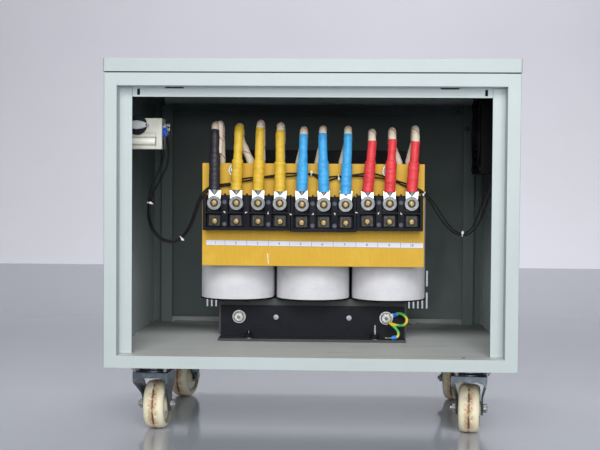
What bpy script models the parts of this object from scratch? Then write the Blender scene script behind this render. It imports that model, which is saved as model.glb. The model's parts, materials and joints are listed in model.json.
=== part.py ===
"""Three-phase autotransformer with fixed taps in a sheet-steel cabinet on swivel casters.

Frame: metres, +Z up, +X to the right of someone facing the open front, which looks to -Y.
The origin is on the floor, under the middle of the cabinet.
"""

import math

import bmesh
import bpy
from mathutils import Matrix, Vector

# ---- Cabinet. Heights outside the casters are those of a cabinet whose underside is at
# BODY_BOTTOM; lift_onto_casters() then raises it all to the casters' real height.
BODY_WIDTH = 0.600
BODY_DEPTH = 0.456
BODY_BOTTOM = 0.100
BODY_TOP = 0.5285
SHEET = 0.0015
GAP = 0.0003            # clearance between touching pieces
RUNNING_CLEARANCE = 0.00006
TO_CORNER_12 = 1 / math.cos(math.pi / 12)   # a 12-sided hole's corner radius over its flats'
STILE_EDGE = 0.281      # |X| where the outer frame ends and the recess starts
FLANGE_EDGE = 0.2627    # |X| of the free edge of the inner flange
RECESS = 0.0235         # depth of the cover's seat
RAIL_BOTTOM = 0.510
OPENING_TOP = 0.4955
FLOOR_TOP = 0.118
RETURN_LIP = 0.015
LID_TOP = 0.550
LID_BOTTOM = 0.530
LID_OVERHANG = 0.0015

WALL = BODY_WIDTH / 2
FRONT = -BODY_DEPTH / 2
REAR = BODY_DEPTH / 2

# ---- Casters
CASTER_HEIGHT = 0.110
CASTER_X = 0.240
CASTER_Y = 0.140
WHEEL_RADIUS = 0.0375
WHEEL_SIDES = 24
TRAIL = 0.026
AXLE_RADIUS = 0.004
SWIVEL_DEGREES = {"fl": -4.0, "fr": -8.0, "rl": -14.0, "rr": -16.0}

# ---- Fan on the right wall
FAN_SIZE = 0.120
FAN_DEPTH = 0.038
FAN_Y = -0.023
FAN_Z = 0.4475
FAN_FACE = 0.2602       # X of the face that looks into the cabinet
FAN_SHAFT_RADIUS = 0.003

# ---- Fan control on the left wall
CONTROL_LOW = (-0.2980, -0.130, 0.4215)
CONTROL_HIGH = (-0.2305, -0.095, 0.4685)
DIAL_X = -0.2681
DIAL_Z = 0.4580
DIAL_RADIUS = 0.0152
SPINDLE_RADIUS = 0.003

# ---- Transformer
CENTRE_X = -0.0015
LIMB_PITCH = 0.1235
LIMB = 0.060
STACK_FRONT = -0.0037
STACK_REAR = 0.0963
CORE_BOTTOM = 0.1225
CORE_TOP = 0.4205
COIL_RADIUS = 0.061
COIL_FRONT = -0.056
COIL_REAR = 0.148
COIL_BOTTOM = 0.1830
COIL_TOP = 0.3600
ANGLE_LENGTH = 0.300
ANGLE_SHEET = 0.004
ANGLE_HEIGHT = 0.0527
FOOT_WIDTH = 0.050
BOLT_SPACING = 0.240
BOLT_RADIUS = 0.005
FOOT_BOLT_SPACING = 0.202

# ---- Terminal board, blocks and leads
BOARD_HALF_WIDTH = 0.1735
BOARD_FRONT = -0.085
BOARD_THICKNESS = 0.003
BOARD_BOTTOM = 0.241
BOARD_TOP = 0.4015
TERMINALS = 10
TERMINAL_PITCH = 0.03386
FIRST_TERMINAL = -0.1521
BLOCK_FRONT = -0.118
POCKET_FLOOR = -0.1042
POCKET_WIDTH = 0.0235
BLOCK_HEIGHT = 0.054
LEAD_FRONT = -0.107
LEAD_REAR = -0.0685
SLEEVE_RADIUS = 0.0063
WIDE_SHRINK_RADIUS = 0.0086
NARROW_SHRINK_RADIUS = 0.0070

# ---- Wires
HARNESS_RADIUS = 0.0021
EARTH_RADIUS = 0.00225


# ------------------------------------------------------------------ helpers

def clear_scene():
    for old in list(bpy.data.objects):
        bpy.data.objects.remove(old)


def finish(name, colour, roughness, metallic):
    """A Principled BSDF material."""
    made = bpy.data.materials.new(name)
    made.use_nodes = True
    shader = made.node_tree.nodes["Principled BSDF"]
    shader.inputs["Base Color"].default_value = (*colour, 1.0)
    shader.inputs["Roughness"].default_value = roughness
    shader.inputs["Metallic"].default_value = metallic
    return made


def add_object(name, mesh, material=None):
    made = bpy.data.objects.new(name, mesh)
    bpy.context.collection.objects.link(made)
    if material is not None:
        made.data.materials.clear()
        made.data.materials.append(material)
    return made


def mesh_from(name, points, faces, twisted=False):
    built = bmesh.new()
    corners = [built.verts.new(point) for point in points]
    for face in faces:
        built.faces.new([corners[i] for i in face])
    bmesh.ops.recalc_face_normals(built, faces=built.faces)
    if twisted:
        bmesh.ops.triangulate(built, faces=built.faces)
    mesh = bpy.data.meshes.new(name)
    built.to_mesh(mesh)
    built.free()
    return mesh


def lofted(name, rings, material=None):
    """A closed body through rings of points, all rings with the same count."""
    sides = len(rings[0])
    points = [point for ring in rings for point in ring]
    faces = [tuple(range(sides)), tuple(range(len(points) - sides, len(points)))]
    for row in range(len(rings) - 1):
        for side in range(sides):
            after = (side + 1) % sides
            faces.append((row * sides + side, row * sides + after,
                          (row + 1) * sides + after, (row + 1) * sides + side))
    return add_object(name, mesh_from(name, points, faces), material)


def prism(name, outline, axis, low, high, material=None):
    """An outline swept along an axis. Outline pairs are (y, z), (x, z) or (x, y)."""
    def place(pair, along):
        a, b = pair
        return {"X": (along, a, b), "Y": (a, along, b), "Z": (a, b, along)}[axis]
    rings = [[place(pair, along) for pair in outline] for along in (low, high)]
    return lofted(name, rings, material)


def box(name, low, high, material=None):
    outline = [(low[0], low[1]), (high[0], low[1]), (high[0], high[1]), (low[0], high[1])]
    return prism(name, outline, "Z", low[2], high[2], material)


def circle(centre, radius, sides, start=0.0):
    turn = math.tau / sides
    return [(centre[0] + radius * math.cos(start + turn * i),
             centre[1] + radius * math.sin(start + turn * i)) for i in range(sides)]


def rod(name, axis, centre, radius, low, high, sides=12, material=None, start=0.0):
    return prism(name, circle(centre, radius, sides, start), axis, low, high, material)


def turned(name, profile, sides, material=None, start=0.0):
    """A ring turned about X from a closed (x, radius) profile that stays off the axis."""
    points = []
    for i in range(sides):
        angle = start + math.tau * i / sides
        points += [(x, r * math.cos(angle), r * math.sin(angle)) for x, r in profile]
    count = len(profile)
    faces = []
    for i in range(sides):
        after = (i + 1) % sides
        for j in range(count):
            k = (j + 1) % count
            faces.append((i * count + j, i * count + k, after * count + k, after * count + j))
    return add_object(name, mesh_from(name, points, faces), material)


def combined(target, tool, operation):
    """Applies one exact Boolean to target and removes the tool."""
    modifier = target.modifiers.new(operation, "BOOLEAN")
    modifier.operation = operation
    modifier.object = tool
    bpy.context.view_layer.update()
    shaped = target.evaluated_get(bpy.context.evaluated_depsgraph_get())
    mesh = bpy.data.meshes.new_from_object(shaped)
    target.modifiers.clear()
    target.data = mesh
    bpy.data.objects.remove(tool)
    return target


def fused(target, *tools):
    for tool in tools:
        combined(target, tool, "UNION")
    return target


def cut(target, *tools):
    for tool in tools:
        combined(target, tool, "DIFFERENCE")
    return target


def boxes(name, corners):
    """Separate boxes in one mesh, for cutting many slots at once."""
    points, faces = [], []
    for low, high in corners:
        first = len(points)
        for z in (low[2], high[2]):
            points += [(low[0], low[1], z), (high[0], low[1], z),
                       (high[0], high[1], z), (low[0], high[1], z)]
        for face in ((0, 3, 2, 1), (4, 5, 6, 7), (0, 1, 5, 4),
                     (1, 2, 6, 5), (2, 3, 7, 6), (3, 0, 4, 7)):
            faces.append(tuple(first + i for i in face))
    return add_object(name, mesh_from(name, points, faces))


def smooth_route(points, spacing):
    """Points about one spacing apart on a smooth curve through the given ones."""
    ends = [Vector(points[0]) * 2 - Vector(points[1])]
    knots = ends + [Vector(p) for p in points]
    knots.append(Vector(points[-1]) * 2 - Vector(points[-2]))
    fine = []
    for i in range(1, len(knots) - 2):
        a, b, c, d = knots[i - 1:i + 3]
        for step in range(24):
            t = step / 24
            fine.append(0.5 * (2 * b + (c - a) * t + (2 * a - 5 * b + 4 * c - d) * t * t
                               + (3 * b - a - 3 * c + d) * t ** 3))
    fine.append(knots[-2])
    length = sum((q - p).length for p, q in zip(fine, fine[1:]))
    count = max(2, round(length / spacing))
    route, walked, target = [fine[0]], 0.0, length / count
    for p, q in zip(fine, fine[1:]):
        step = (q - p).length
        while walked + step >= target and len(route) < count:
            route.append(p.lerp(q, (target - walked) / step))
            target += length / count
        walked += step
    route.append(fine[-1])
    return route


def tube(name, route, radius, material):
    curve = bpy.data.curves.new(name, "CURVE")
    curve.dimensions = "3D"
    curve.bevel_depth = radius
    curve.bevel_resolution = 2
    curve.use_fill_caps = True
    curve.resolution_u = 1
    curve.render_resolution_u = 0
    spline = curve.splines.new("POLY")
    spline.points.add(len(route) - 1)
    for point, place in zip(spline.points, route):
        point.co = (*place, 1.0)
    return add_object(name, curve, material)


def trimmed(route, start=0.0, end=0.0):
    """The route with its first and last run shortened."""
    route = [Vector(p) for p in route]
    route[0] += (route[1] - route[0]).normalized() * start
    route[-1] += (route[-2] - route[-1]).normalized() * end
    return route


# ------------------------------------------------------------------ cabinet

def side_panel(name, side, paint):
    """Wall with front and rear frame edges, cover seats and a top lip. side is -1 or 1."""
    def at(pairs):
        return [(side * x, y) for x, y in pairs]

    inner = WALL - SHEET
    channel = at([(STILE_EDGE, FRONT), (WALL, FRONT), (WALL, REAR), (STILE_EDGE, REAR),
                  (STILE_EDGE, REAR - SHEET), (inner, REAR - SHEET),
                  (inner, FRONT + SHEET), (STILE_EDGE, FRONT + SHEET)])
    panel = prism(name, channel, "Z", BODY_BOTTOM, BODY_TOP, paint)
    for end, into in ((FRONT, 1), (REAR, -1)):
        seat = at([(FLANGE_EDGE, end + into * RECESS), (STILE_EDGE, end + into * RECESS),
                   (STILE_EDGE, end + into * SHEET / 2),
                   (STILE_EDGE + SHEET, end + into * SHEET / 2),
                   (STILE_EDGE + SHEET, end + into * (RECESS + SHEET)),
                   (FLANGE_EDGE, end + into * (RECESS + SHEET))])
        fused(panel, prism("seat", seat, "Z", FLOOR_TOP + GAP, RAIL_BOTTOM - GAP))
    top_lip = at([(STILE_EDGE + 2 * SHEET, FRONT + SHEET / 2), (inner + SHEET / 2, FRONT + SHEET / 2),
                  (inner + SHEET / 2, REAR - SHEET / 2), (STILE_EDGE + 2 * SHEET, REAR - SHEET / 2)])
    fused(panel, prism("lip", top_lip, "Z", BODY_TOP - SHEET, BODY_TOP))
    return panel


def fan_outlet_slots():
    """Cutters for the slots in the right wall, inside a circle round the fan's centre."""
    reach, slot_width, pitch = 0.052, 0.005, 0.011
    corners = []
    for i in range(-4, 5):
        half = math.sqrt(reach ** 2 - (i * pitch) ** 2)
        y = FAN_Y + i * pitch
        corners.append(((WALL - 0.01, y - slot_width / 2, FAN_Z - half),
                        (WALL + 0.01, y + slot_width / 2, FAN_Z + half)))
    return boxes("outlet", corners)


def top_rail(name, end, into, paint):
    """Frame rail over the front (end=FRONT, into=1) or rear opening."""
    def at(pairs):
        return [(end + into * y, z) for y, z in pairs]

    profile = at([(0, RAIL_BOTTOM), (0, BODY_TOP), (RETURN_LIP, BODY_TOP),
                  (RETURN_LIP, BODY_TOP - SHEET), (SHEET, BODY_TOP - SHEET),
                  (SHEET, RAIL_BOTTOM + SHEET), (RECESS + SHEET, RAIL_BOTTOM + SHEET),
                  (RECESS + SHEET, RAIL_BOTTOM)])
    half = STILE_EDGE - GAP
    rail = prism(name, profile, "X", -half, half, paint)
    flange = at([(RECESS, OPENING_TOP), (RECESS, RAIL_BOTTOM + SHEET / 2),
                 (RECESS + SHEET, RAIL_BOTTOM + SHEET / 2), (RECESS + SHEET, OPENING_TOP)])
    half = FLANGE_EDGE - GAP
    return fused(rail, prism("flange", flange, "X", -half, half))


def front_rail_slots():
    """Oval screw slots in the flange and hook slots in the seat's ceiling."""
    oval_x, oval_z, oval_width, oval_height = 0.2534, 0.5028, 0.004, 0.009
    hook_low, hook_high = 0.187, 0.214
    corners = []
    for side in (-1, 1):
        x = side * oval_x
        corners.append(((x - oval_width / 2, FRONT + RECESS - 0.002, oval_z - oval_height / 2),
                        (x + oval_width / 2, FRONT + RECESS + 0.004, oval_z + oval_height / 2)))
        ends = sorted((side * hook_low, side * hook_high))
        corners.append(((ends[0], FRONT + 0.007, RAIL_BOTTOM - 0.002),
                        (ends[1], FRONT + 0.011, RAIL_BOTTOM + 0.004)))
    return boxes("slots", corners)


def floor_pan(paint):
    """Floor with front and rear lips, a slotted rear upstand and two caster channels."""
    low = FLOOR_TOP - SHEET
    half = STILE_EDGE - GAP
    pan = box("floor_pan", (-half, FRONT, low), (half, REAR, FLOOR_TOP), paint)
    wide = WALL - SHEET - GAP
    inset = SHEET + GAP
    fused(pan, box("wide", (-wide, FRONT + inset, low), (wide, REAR - inset, FLOOR_TOP)))
    for end, into in ((FRONT, 1), (REAR, -1)):
        lip = [(end, BODY_BOTTOM), (end, FLOOR_TOP - SHEET / 2),
               (end + into * SHEET, FLOOR_TOP - SHEET / 2),
               (end + into * SHEET, BODY_BOTTOM + SHEET),
               (end + into * RETURN_LIP, BODY_BOTTOM + SHEET),
               (end + into * RETURN_LIP, BODY_BOTTOM)]
        fused(pan, prism("lip", lip, "X", -half, half))
    upstand_top = 0.128
    upstand_half = FLANGE_EDGE - GAP
    back = REAR - RECESS
    fused(pan, box("upstand", (-upstand_half, back - SHEET, low + SHEET / 2),
                   (upstand_half, back, upstand_top)))
    slots = []
    slot_count, slot_gap = 6, 0.006
    slot_pitch = 2 * upstand_half / slot_count
    for i in range(slot_count):
        x = -upstand_half + i * slot_pitch
        slots.append(((x + slot_gap / 2, back - 0.004, FLOOR_TOP + 0.0006),
                      (x + slot_pitch - slot_gap / 2, back + 0.003, FLOOR_TOP + 0.0028)))
    cut(pan, boxes("slots", slots))
    channel_half, channel_sheet, channel_end = 0.036, 0.003, 0.205
    for side in (-1, 1):
        x = side * CASTER_X
        profile = [(x - channel_half, low + SHEET / 2), (x - channel_half, BODY_BOTTOM),
                   (x + channel_half, BODY_BOTTOM), (x + channel_half, low + SHEET / 2),
                   (x + channel_half - channel_sheet, low + SHEET / 2),
                   (x + channel_half - channel_sheet, BODY_BOTTOM + channel_sheet),
                   (x - channel_half + channel_sheet, BODY_BOTTOM + channel_sheet),
                   (x - channel_half + channel_sheet, low + SHEET / 2)]
        fused(pan, prism("channel", profile, "Y", -channel_end, channel_end))
    return pan


def rear_panel(paint):
    """Cover pan in the rear seat, with two rows of upright vent slots."""
    half = STILE_EDGE - 0.0005
    low, high = FLOOR_TOP + 0.0025, RAIL_BOTTOM - 0.0005
    seat = REAR - RECESS + GAP
    panel = box("rear_panel", (-half, seat, low), (half, REAR, high), paint)
    cut(panel, box("hollow", (-half + SHEET, seat - 0.01, low + SHEET),
                   (half - SHEET, REAR - SHEET, high - SHEET)))
    vent_rows = ((0.1446, 0.1737), (0.1852, 0.2137))
    vent_count, vent_pitch, vent_width = 51, 0.00804, 0.003
    corners = []
    for bottom, top in vent_rows:
        for i in range(vent_count):
            x = (i - (vent_count - 1) / 2) * vent_pitch
            corners.append(((x - vent_width / 2, REAR - 0.01, bottom),
                            (x + vent_width / 2, REAR + 0.01, top)))
    return cut(panel, boxes("vents", corners))


def rounded_rectangle(half_x, half_y, radius, steps=3):
    points = []
    for i, (sx, sy) in enumerate(((1, 1), (-1, 1), (-1, -1), (1, -1))):
        centre = (sx * (half_x - radius), sy * (half_y - radius))
        for step in range(steps + 1):
            angle = math.pi / 2 * (i + step / steps)
            points.append((centre[0] + radius * math.cos(angle),
                           centre[1] + radius * math.sin(angle)))
    return points


def lid_cover(paint):
    """Shallow lid with turned-in edges that stands on the body's top lips."""
    half_x, half_y = WALL + LID_OVERHANG, REAR + LID_OVERHANG
    lid = prism("lid_cover", rounded_rectangle(half_x, half_y, 0.004), "Z",
                LID_BOTTOM, LID_TOP, paint)
    seat_inset, opening_inset = 0.0035, 0.0165
    fused(lid, box("seat", (-WALL + seat_inset, FRONT + seat_inset, BODY_TOP + GAP),
                   (WALL - seat_inset, REAR - seat_inset, LID_BOTTOM + 0.004)))
    cut(lid, box("hollow", (-WALL, FRONT, LID_BOTTOM + SHEET), (WALL, REAR, LID_TOP - SHEET)),
        box("opening", (-WALL + opening_inset, FRONT + opening_inset, BODY_TOP - 0.01),
            (WALL - opening_inset, REAR - opening_inset, LID_BOTTOM + 0.01)))
    return lid


def cabinet(paint):
    side_panel("left_side_panel", -1, paint)
    cut(side_panel("right_side_panel", 1, paint), fan_outlet_slots())
    floor_pan(paint)
    cut(top_rail("front_top_rail", FRONT, 1, paint), front_rail_slots())
    top_rail("rear_top_rail", REAR, -1, paint)
    rear_panel(paint)
    lid_cover(paint)


# ------------------------------------------------------------------ casters
# Each caster is modelled with its swivel axis on Z through the origin, trailing to +Y.

PLATE_TOP = CASTER_HEIGHT - GAP
PLATE_THICKNESS = 0.0027
UPPER_RACE_BOTTOM = 0.0985
LOWER_RACE_TOP = 0.0960
CROWN_TOP = 0.0935
FORK_SHEET = 0.0026
CROWN_HALF = 0.0268
CROWN_REACH = 0.026
SKIRT_BOTTOM = 0.0850
LEG_HALF = 0.0206
LEG_END_RADIUS = 0.011
KINGPIN_RADIUS = 0.006


def caster_plate(zinc):
    half_x, half_y = 0.032, 0.046
    plate = box("caster_plate", (-half_x, -half_y, PLATE_TOP - PLATE_THICKNESS),
                (half_x, half_y, PLATE_TOP), zinc)
    fused(plate,
          rod("race", "Z", (0, 0), 0.027, UPPER_RACE_BOTTOM, PLATE_TOP - 0.001, 24),
          rod("kingpin", "Z", (0, 0), KINGPIN_RADIUS, 0.0850, UPPER_RACE_BOTTOM + 0.002, 12),
          rod("rivet", "Z", (0, 0), 0.010, 0.0830, 0.0880, 12))
    return plate


def caster_fork(zinc):
    """Bent legs and crown, cut from the side to their tapering outline, with a front skirt."""
    bottom, knee, shoulder = 0.024, 0.055, 0.080
    arch = [(-CROWN_HALF, CROWN_TOP), (-CROWN_HALF, shoulder), (-LEG_HALF, knee),
            (-LEG_HALF, bottom), (-LEG_HALF + FORK_SHEET, bottom),
            (-LEG_HALF + FORK_SHEET, knee + 0.0005), (-CROWN_HALF + FORK_SHEET, shoulder + 0.0005),
            (-CROWN_HALF + FORK_SHEET, CROWN_TOP - FORK_SHEET)]
    arch += [(-x, z) for x, z in reversed(arch)]
    fork = prism("caster_fork", arch, "Y", -0.040, 0.050, zinc)
    low_turn = [(TRAIL + LEG_END_RADIUS * math.cos(a), WHEEL_RADIUS + LEG_END_RADIUS * math.sin(a))
                for a in [math.radians(-160 + 25 * i) for i in range(7)]]
    side = [(-CROWN_REACH, 0.100), (-CROWN_REACH, 0.0775), (-0.0195, 0.0735), (-0.0095, 0.0672),
            (0.0015, 0.0590), (0.0090, 0.0500)] + low_turn
    side += [(0.0385, 0.0600), (0.0320, 0.0800), (CROWN_REACH, 0.100)]
    combined(fork, prism("outline", side, "X", -0.05, 0.05), "INTERSECT")
    inner = CROWN_HALF - FORK_SHEET / 2
    skirt = [(-inner, CROWN_TOP - FORK_SHEET / 2), (-inner, 0.0785), (-0.0205, 0.0825),
             (-0.0130, SKIRT_BOTTOM)]
    skirt += [(-x, z) for x, z in reversed(skirt)]
    fused(fork, rod("race", "Z", (0, 0), 0.023, CROWN_TOP - 0.001, LOWER_RACE_TOP, 24),
          prism("skirt", skirt, "Y", -CROWN_REACH, -CROWN_REACH + FORK_SHEET))
    pin_hole = (KINGPIN_RADIUS + RUNNING_CLEARANCE) * TO_CORNER_12
    cut(fork, rod("kingpin_hole", "Z", (0, 0), pin_hole, 0.06, 0.12, 12),
        rod("axle_hole", "X", (TRAIL, WHEEL_RADIUS), AXLE_RADIUS + RUNNING_CLEARANCE, -0.05, 0.05, 12))
    return fork


def caster_wheel(nylon):
    """Wheel about its own axle, with a flat of its outline at the bottom."""
    half = [(0.0175, AXLE_RADIUS + RUNNING_CLEARANCE), (0.0175, 0.0110), (0.0125, 0.0140),
            (0.0125, 0.0265), (0.0160, 0.0300), (0.0118, 0.0362), (0.0040, WHEEL_RADIUS)]
    to_flat = 1 / math.cos(math.pi / WHEEL_SIDES)
    profile = [(x, r * to_flat) for x, r in half]
    profile += [(-x, r) for x, r in reversed(profile)]
    return turned("caster_wheel", profile, WHEEL_SIDES, nylon, math.pi / WHEEL_SIDES)


def caster_axle(zinc):
    axle = rod("caster_axle", "X", (0, 0), AXLE_RADIUS, -0.0297, 0.0275, 12, zinc)
    inner = LEG_HALF + GAP
    for side in (-1, 1):
        low, high = sorted((side * inner, side * (inner + 0.0055)))
        fused(axle, rod("nut", "X", (0, 0), 0.0075, low, high, 6))
    return axle


def casters(zinc, nylon):
    masters = (caster_plate(zinc), caster_fork(zinc), caster_wheel(nylon), caster_axle(zinc))
    meshes = [master.data for master in masters]
    for master in masters:
        bpy.data.objects.remove(master)
    for code, degrees in SWIVEL_DEGREES.items():
        sign_x = 1 if code[1] == "r" else -1
        sign_y = 1 if code[0] == "r" else -1
        foot = Vector((sign_x * CASTER_X, sign_y * CASTER_Y, 0))
        turn = Matrix.Rotation(math.radians(degrees), 4, "Z")
        hub = foot + turn @ Vector((0, TRAIL, WHEEL_RADIUS))
        add_object(f"caster_plate_{code}", meshes[0]).location = foot
        pieces = (("fork", meshes[1], foot), ("wheel", meshes[2], hub), ("axle", meshes[3], hub))
        for piece, mesh, place in pieces:
            made = add_object(f"caster_{piece}_{code}", mesh)
            made.location = place
            made.rotation_euler.z = math.radians(degrees)


# ------------------------------------------------------------------ fan and its control

def fan_housing(plastic):
    """Square frame with a round bore, its motor mount held by three struts at the rear."""
    half = FAN_SIZE / 2
    back = FAN_FACE + FAN_DEPTH
    bore, hub, strut, strut_depth = 0.057, 0.020, 0.006, 0.004
    housing = box("fan_housing", (FAN_FACE, FAN_Y - half, FAN_Z - half),
                  (back, FAN_Y + half, FAN_Z + half), plastic)
    cut(housing, rod("bore", "X", (FAN_Y, FAN_Z), bore, FAN_FACE - 0.01, back - strut_depth, 32))
    corner = half - 0.0075
    for sy in (-1, 1):
        for sz in (-1, 1):
            cut(housing, rod("hole", "X", (FAN_Y + sy * corner, FAN_Z + sz * corner), 0.0022,
                             FAN_FACE - 0.01, back + 0.01, 8))
    for sector in range(3):
        start = math.radians(45 + 120 * sector)
        outline = []
        for radius, steps in ((bore - 0.0005, range(9)), (hub, range(4, -1, -1))):
            inset = strut / 2 / radius
            span = math.tau / 3 - 2 * inset
            last = max(steps)
            for step in steps:
                angle = start + inset + span * step / last
                outline.append((FAN_Y + radius * math.cos(angle),
                                FAN_Z + radius * math.sin(angle)))
        cut(housing, prism("gap", outline, "X", back - strut_depth - 0.002, back + 0.01))
    return fused(housing, rod("shaft", "X", (FAN_Y, FAN_Z), FAN_SHAFT_RADIUS,
                              FAN_FACE + 0.012, back - strut_depth / 2, 12))


def fan_rotor(plastic):
    """Hub and seven twisted blades, about X through the fan's centre."""
    blades, hub, tip = 7, 0.020, 0.0550
    front, back = 0.0060, 0.0320
    rotor = rod("fan_rotor", "X", (0, 0), hub, front - 0.001, back + 0.0005, 21, plastic)
    shaft_hole = (FAN_SHAFT_RADIUS + RUNNING_CLEARANCE) * TO_CORNER_12
    cut(rotor, rod("shaft_hole", "X", (0, 0), shaft_hole, 0.010, back + 0.01, 12))
    points, faces = [], []
    for blade in range(blades):
        base = math.tau * blade / blades
        first = len(points)
        for radius, sweep in ((hub - 0.003, 0.30), (0.036, 0.26), (tip, 0.22)):
            for x, turn in ((front, -sweep), (back - 0.001, sweep)):
                for offset in (-0.0009, 0.0009):
                    angle = base + turn + offset / radius
                    points.append((x, radius * math.cos(angle), radius * math.sin(angle)))
        for row in (0, 1):
            a = first + row * 4
            b = a + 4
            faces += [(a, a + 2, b + 2, b), (a + 3, a + 1, b + 1, b + 3),
                      (a + 1, a, b, b + 1), (a + 2, a + 3, b + 3, b + 2)]
        faces += [(first, first + 1, first + 3, first + 2),
                  (first + 8, first + 10, first + 11, first + 9)]
    fused(rotor, add_object("blades", mesh_from("blades", points, faces, twisted=True)))
    rotor.location = (FAN_FACE, FAN_Y, FAN_Z)
    return rotor


def fan_guard(steel):
    """Finger guard of rings and crossed bars on the fan's inner face."""
    back = FAN_FACE - GAP
    front = back - 0.0022
    wire = 0.0012
    guard = None
    for radius, sides in ((0.0560, 24), (0.0440, 20), (0.0320, 20), (0.0200, 16)):
        ring = rod("ring", "X", (FAN_Y, FAN_Z), radius + wire, front, back, sides)
        cut(ring, rod("inside", "X", (FAN_Y, FAN_Z), radius - wire, front - 0.01, back + 0.01, sides))
        if guard is None:
            guard = ring
            spread = 0.0735
            for degrees in (45, 135):
                along = Vector((math.cos(math.radians(degrees)), math.sin(math.radians(degrees))))
                across = Vector((-along.y, along.x)) * wire
                centre = Vector((FAN_Y, FAN_Z))
                outline = [centre - along * spread - across, centre + along * spread - across,
                           centre + along * spread + across, centre - along * spread + across]
                fused(guard, prism("bar", [tuple(p) for p in outline], "X",
                                   front + 0.0002, back - 0.0002))
        else:
            fused(guard, ring)
    guard.name = "fan_guard"
    guard.data.materials.clear()
    guard.data.materials.append(steel)
    return guard


def thermostat(shell, dark):
    """Control on the left wall: housing with terminals, and the knob on its front."""
    body = box("thermostat_body", CONTROL_LOW, CONTROL_HIGH, shell)
    window_low = (-0.2860, CONTROL_LOW[1] - 0.01, 0.4265)
    window_high = (-0.2390, CONTROL_LOW[1] + 0.004, 0.4400)
    spindle_hole = (SPINDLE_RADIUS + RUNNING_CLEARANCE) * TO_CORNER_12
    cut(body, box("window", window_low, window_high),
        rod("spindle_hole", "Y", (DIAL_X, DIAL_Z), spindle_hole,
            CONTROL_LOW[1] - 0.01, CONTROL_LOW[1] + 0.010, 12))
    fused(body, box("terminals", (CONTROL_HIGH[0] - 0.002, -0.1180, 0.4435),
                    (CONTROL_HIGH[0] + 0.0065, -0.1060, 0.4575)))
    knob = rod("thermostat_knob", "Y", (0, 0), DIAL_RADIUS, -0.0040, -GAP, 24, dark)
    length, rise = 0.0195, 0.0068
    lens = []
    for i in range(12):
        x = length * math.cos(math.tau * i / 12)
        bulge = rise * (1 - (x / length) ** 2)
        lens.append((x, bulge if i <= 6 else -bulge))
    lens[0] = (length, 0.0)
    lens[6] = (-length, 0.0)
    fused(knob, prism("pointer", lens, "Y", -0.0095, -0.0035),
          rod("spindle", "Y", (0, 0), SPINDLE_RADIUS, -0.0010, 0.008, 12))
    knob.location = (DIAL_X, CONTROL_LOW[1], DIAL_Z)


# ------------------------------------------------------------------ transformer

def laminated_core(iron):
    half = LIMB_PITCH + LIMB / 2
    core = box("laminated_core", (CENTRE_X - half, STACK_FRONT, CORE_BOTTOM),
               (CENTRE_X + half, STACK_REAR, CORE_TOP), iron)
    for side in (-1, 1):
        near = LIMB / 2
        far = LIMB_PITCH - LIMB / 2
        low, high = sorted((CENTRE_X + side * near, CENTRE_X + side * far))
        cut(core, box("window", (low, STACK_FRONT - 0.01, CORE_BOTTOM + LIMB),
                      (high, STACK_REAR + 0.01, CORE_TOP - LIMB)))
    for x, z in bolt_places():
        cut(core, rod("hole", "Y", (x, z), BOLT_RADIUS + 0.0004,
                      STACK_FRONT - 0.01, STACK_REAR + 0.01))
    return core


def bolt_places():
    """(x, z) of the four clamping bolts, bottom pair first."""
    places = []
    for z in (CORE_BOTTOM + LIMB / 2, CORE_TOP - LIMB / 2):
        for side in (-1, 1):
            places.append((CENTRE_X + side * BOLT_SPACING / 2, z))
    return places


def stadium(centre_x, radius, front, rear, steps=10):
    """Plan outline with round front and rear ends."""
    points = []
    for centre_y, start in ((rear - radius, 0.0), (front + radius, math.pi)):
        for step in range(steps + 1):
            angle = start + math.pi * step / steps
            points.append((centre_x + radius * math.cos(angle),
                           centre_y + radius * math.sin(angle)))
    return points


def coil(name, centre_x, wrap):
    """Wound coil with a thin end flange above and below, open for its core limb."""
    flange, set_back = 0.0020, 0.0016
    low, high = COIL_BOTTOM, COIL_TOP
    made = prism(name, stadium(centre_x, COIL_RADIUS - set_back, COIL_FRONT + set_back,
                               COIL_REAR - set_back), "Z", low + flange / 2, high - flange / 2, wrap)
    outline = stadium(centre_x, COIL_RADIUS, COIL_FRONT, COIL_REAR)
    fused(made, prism("lower", outline, "Z", low, low + flange),
          prism("upper", outline, "Z", high - flange, high))
    inner = LIMB / 2 + 0.0005
    return cut(made, box("limb", (centre_x - inner, STACK_FRONT - 0.0005, low - 0.01),
                         (centre_x + inner, STACK_REAR + 0.0005, high + 0.01)))


def base_angle(name, face, outwards, black):
    """L-section foot. face is the Y of the side that clamps the core."""
    def at(pairs):
        return [(face + outwards * y, FLOOR_TOP + GAP + z) for y, z in pairs]

    profile = at([(0, 0), (FOOT_WIDTH, 0), (FOOT_WIDTH, ANGLE_SHEET), (ANGLE_SHEET, ANGLE_SHEET),
                  (ANGLE_SHEET, ANGLE_HEIGHT), (0, ANGLE_HEIGHT)])
    left, right = CENTRE_X - ANGLE_LENGTH / 2, CENTRE_X + ANGLE_LENGTH / 2
    angle = prism(name, profile, "X", left, right, black)
    slot_half, slot_near, slot_far = 0.0045, 0.030, 0.046
    foot = sorted((face + outwards * slot_near, face + outwards * slot_far))
    for side in (-1, 1):
        x = CENTRE_X + side * FOOT_BOLT_SPACING / 2
        cut(angle, box("slot", (x - slot_half, foot[0], FLOOR_TOP - 0.01),
                       (x + slot_half, foot[1], FLOOR_TOP + 0.01)))
    return drilled(angle, bolt_places()[:2], face, outwards)


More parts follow.
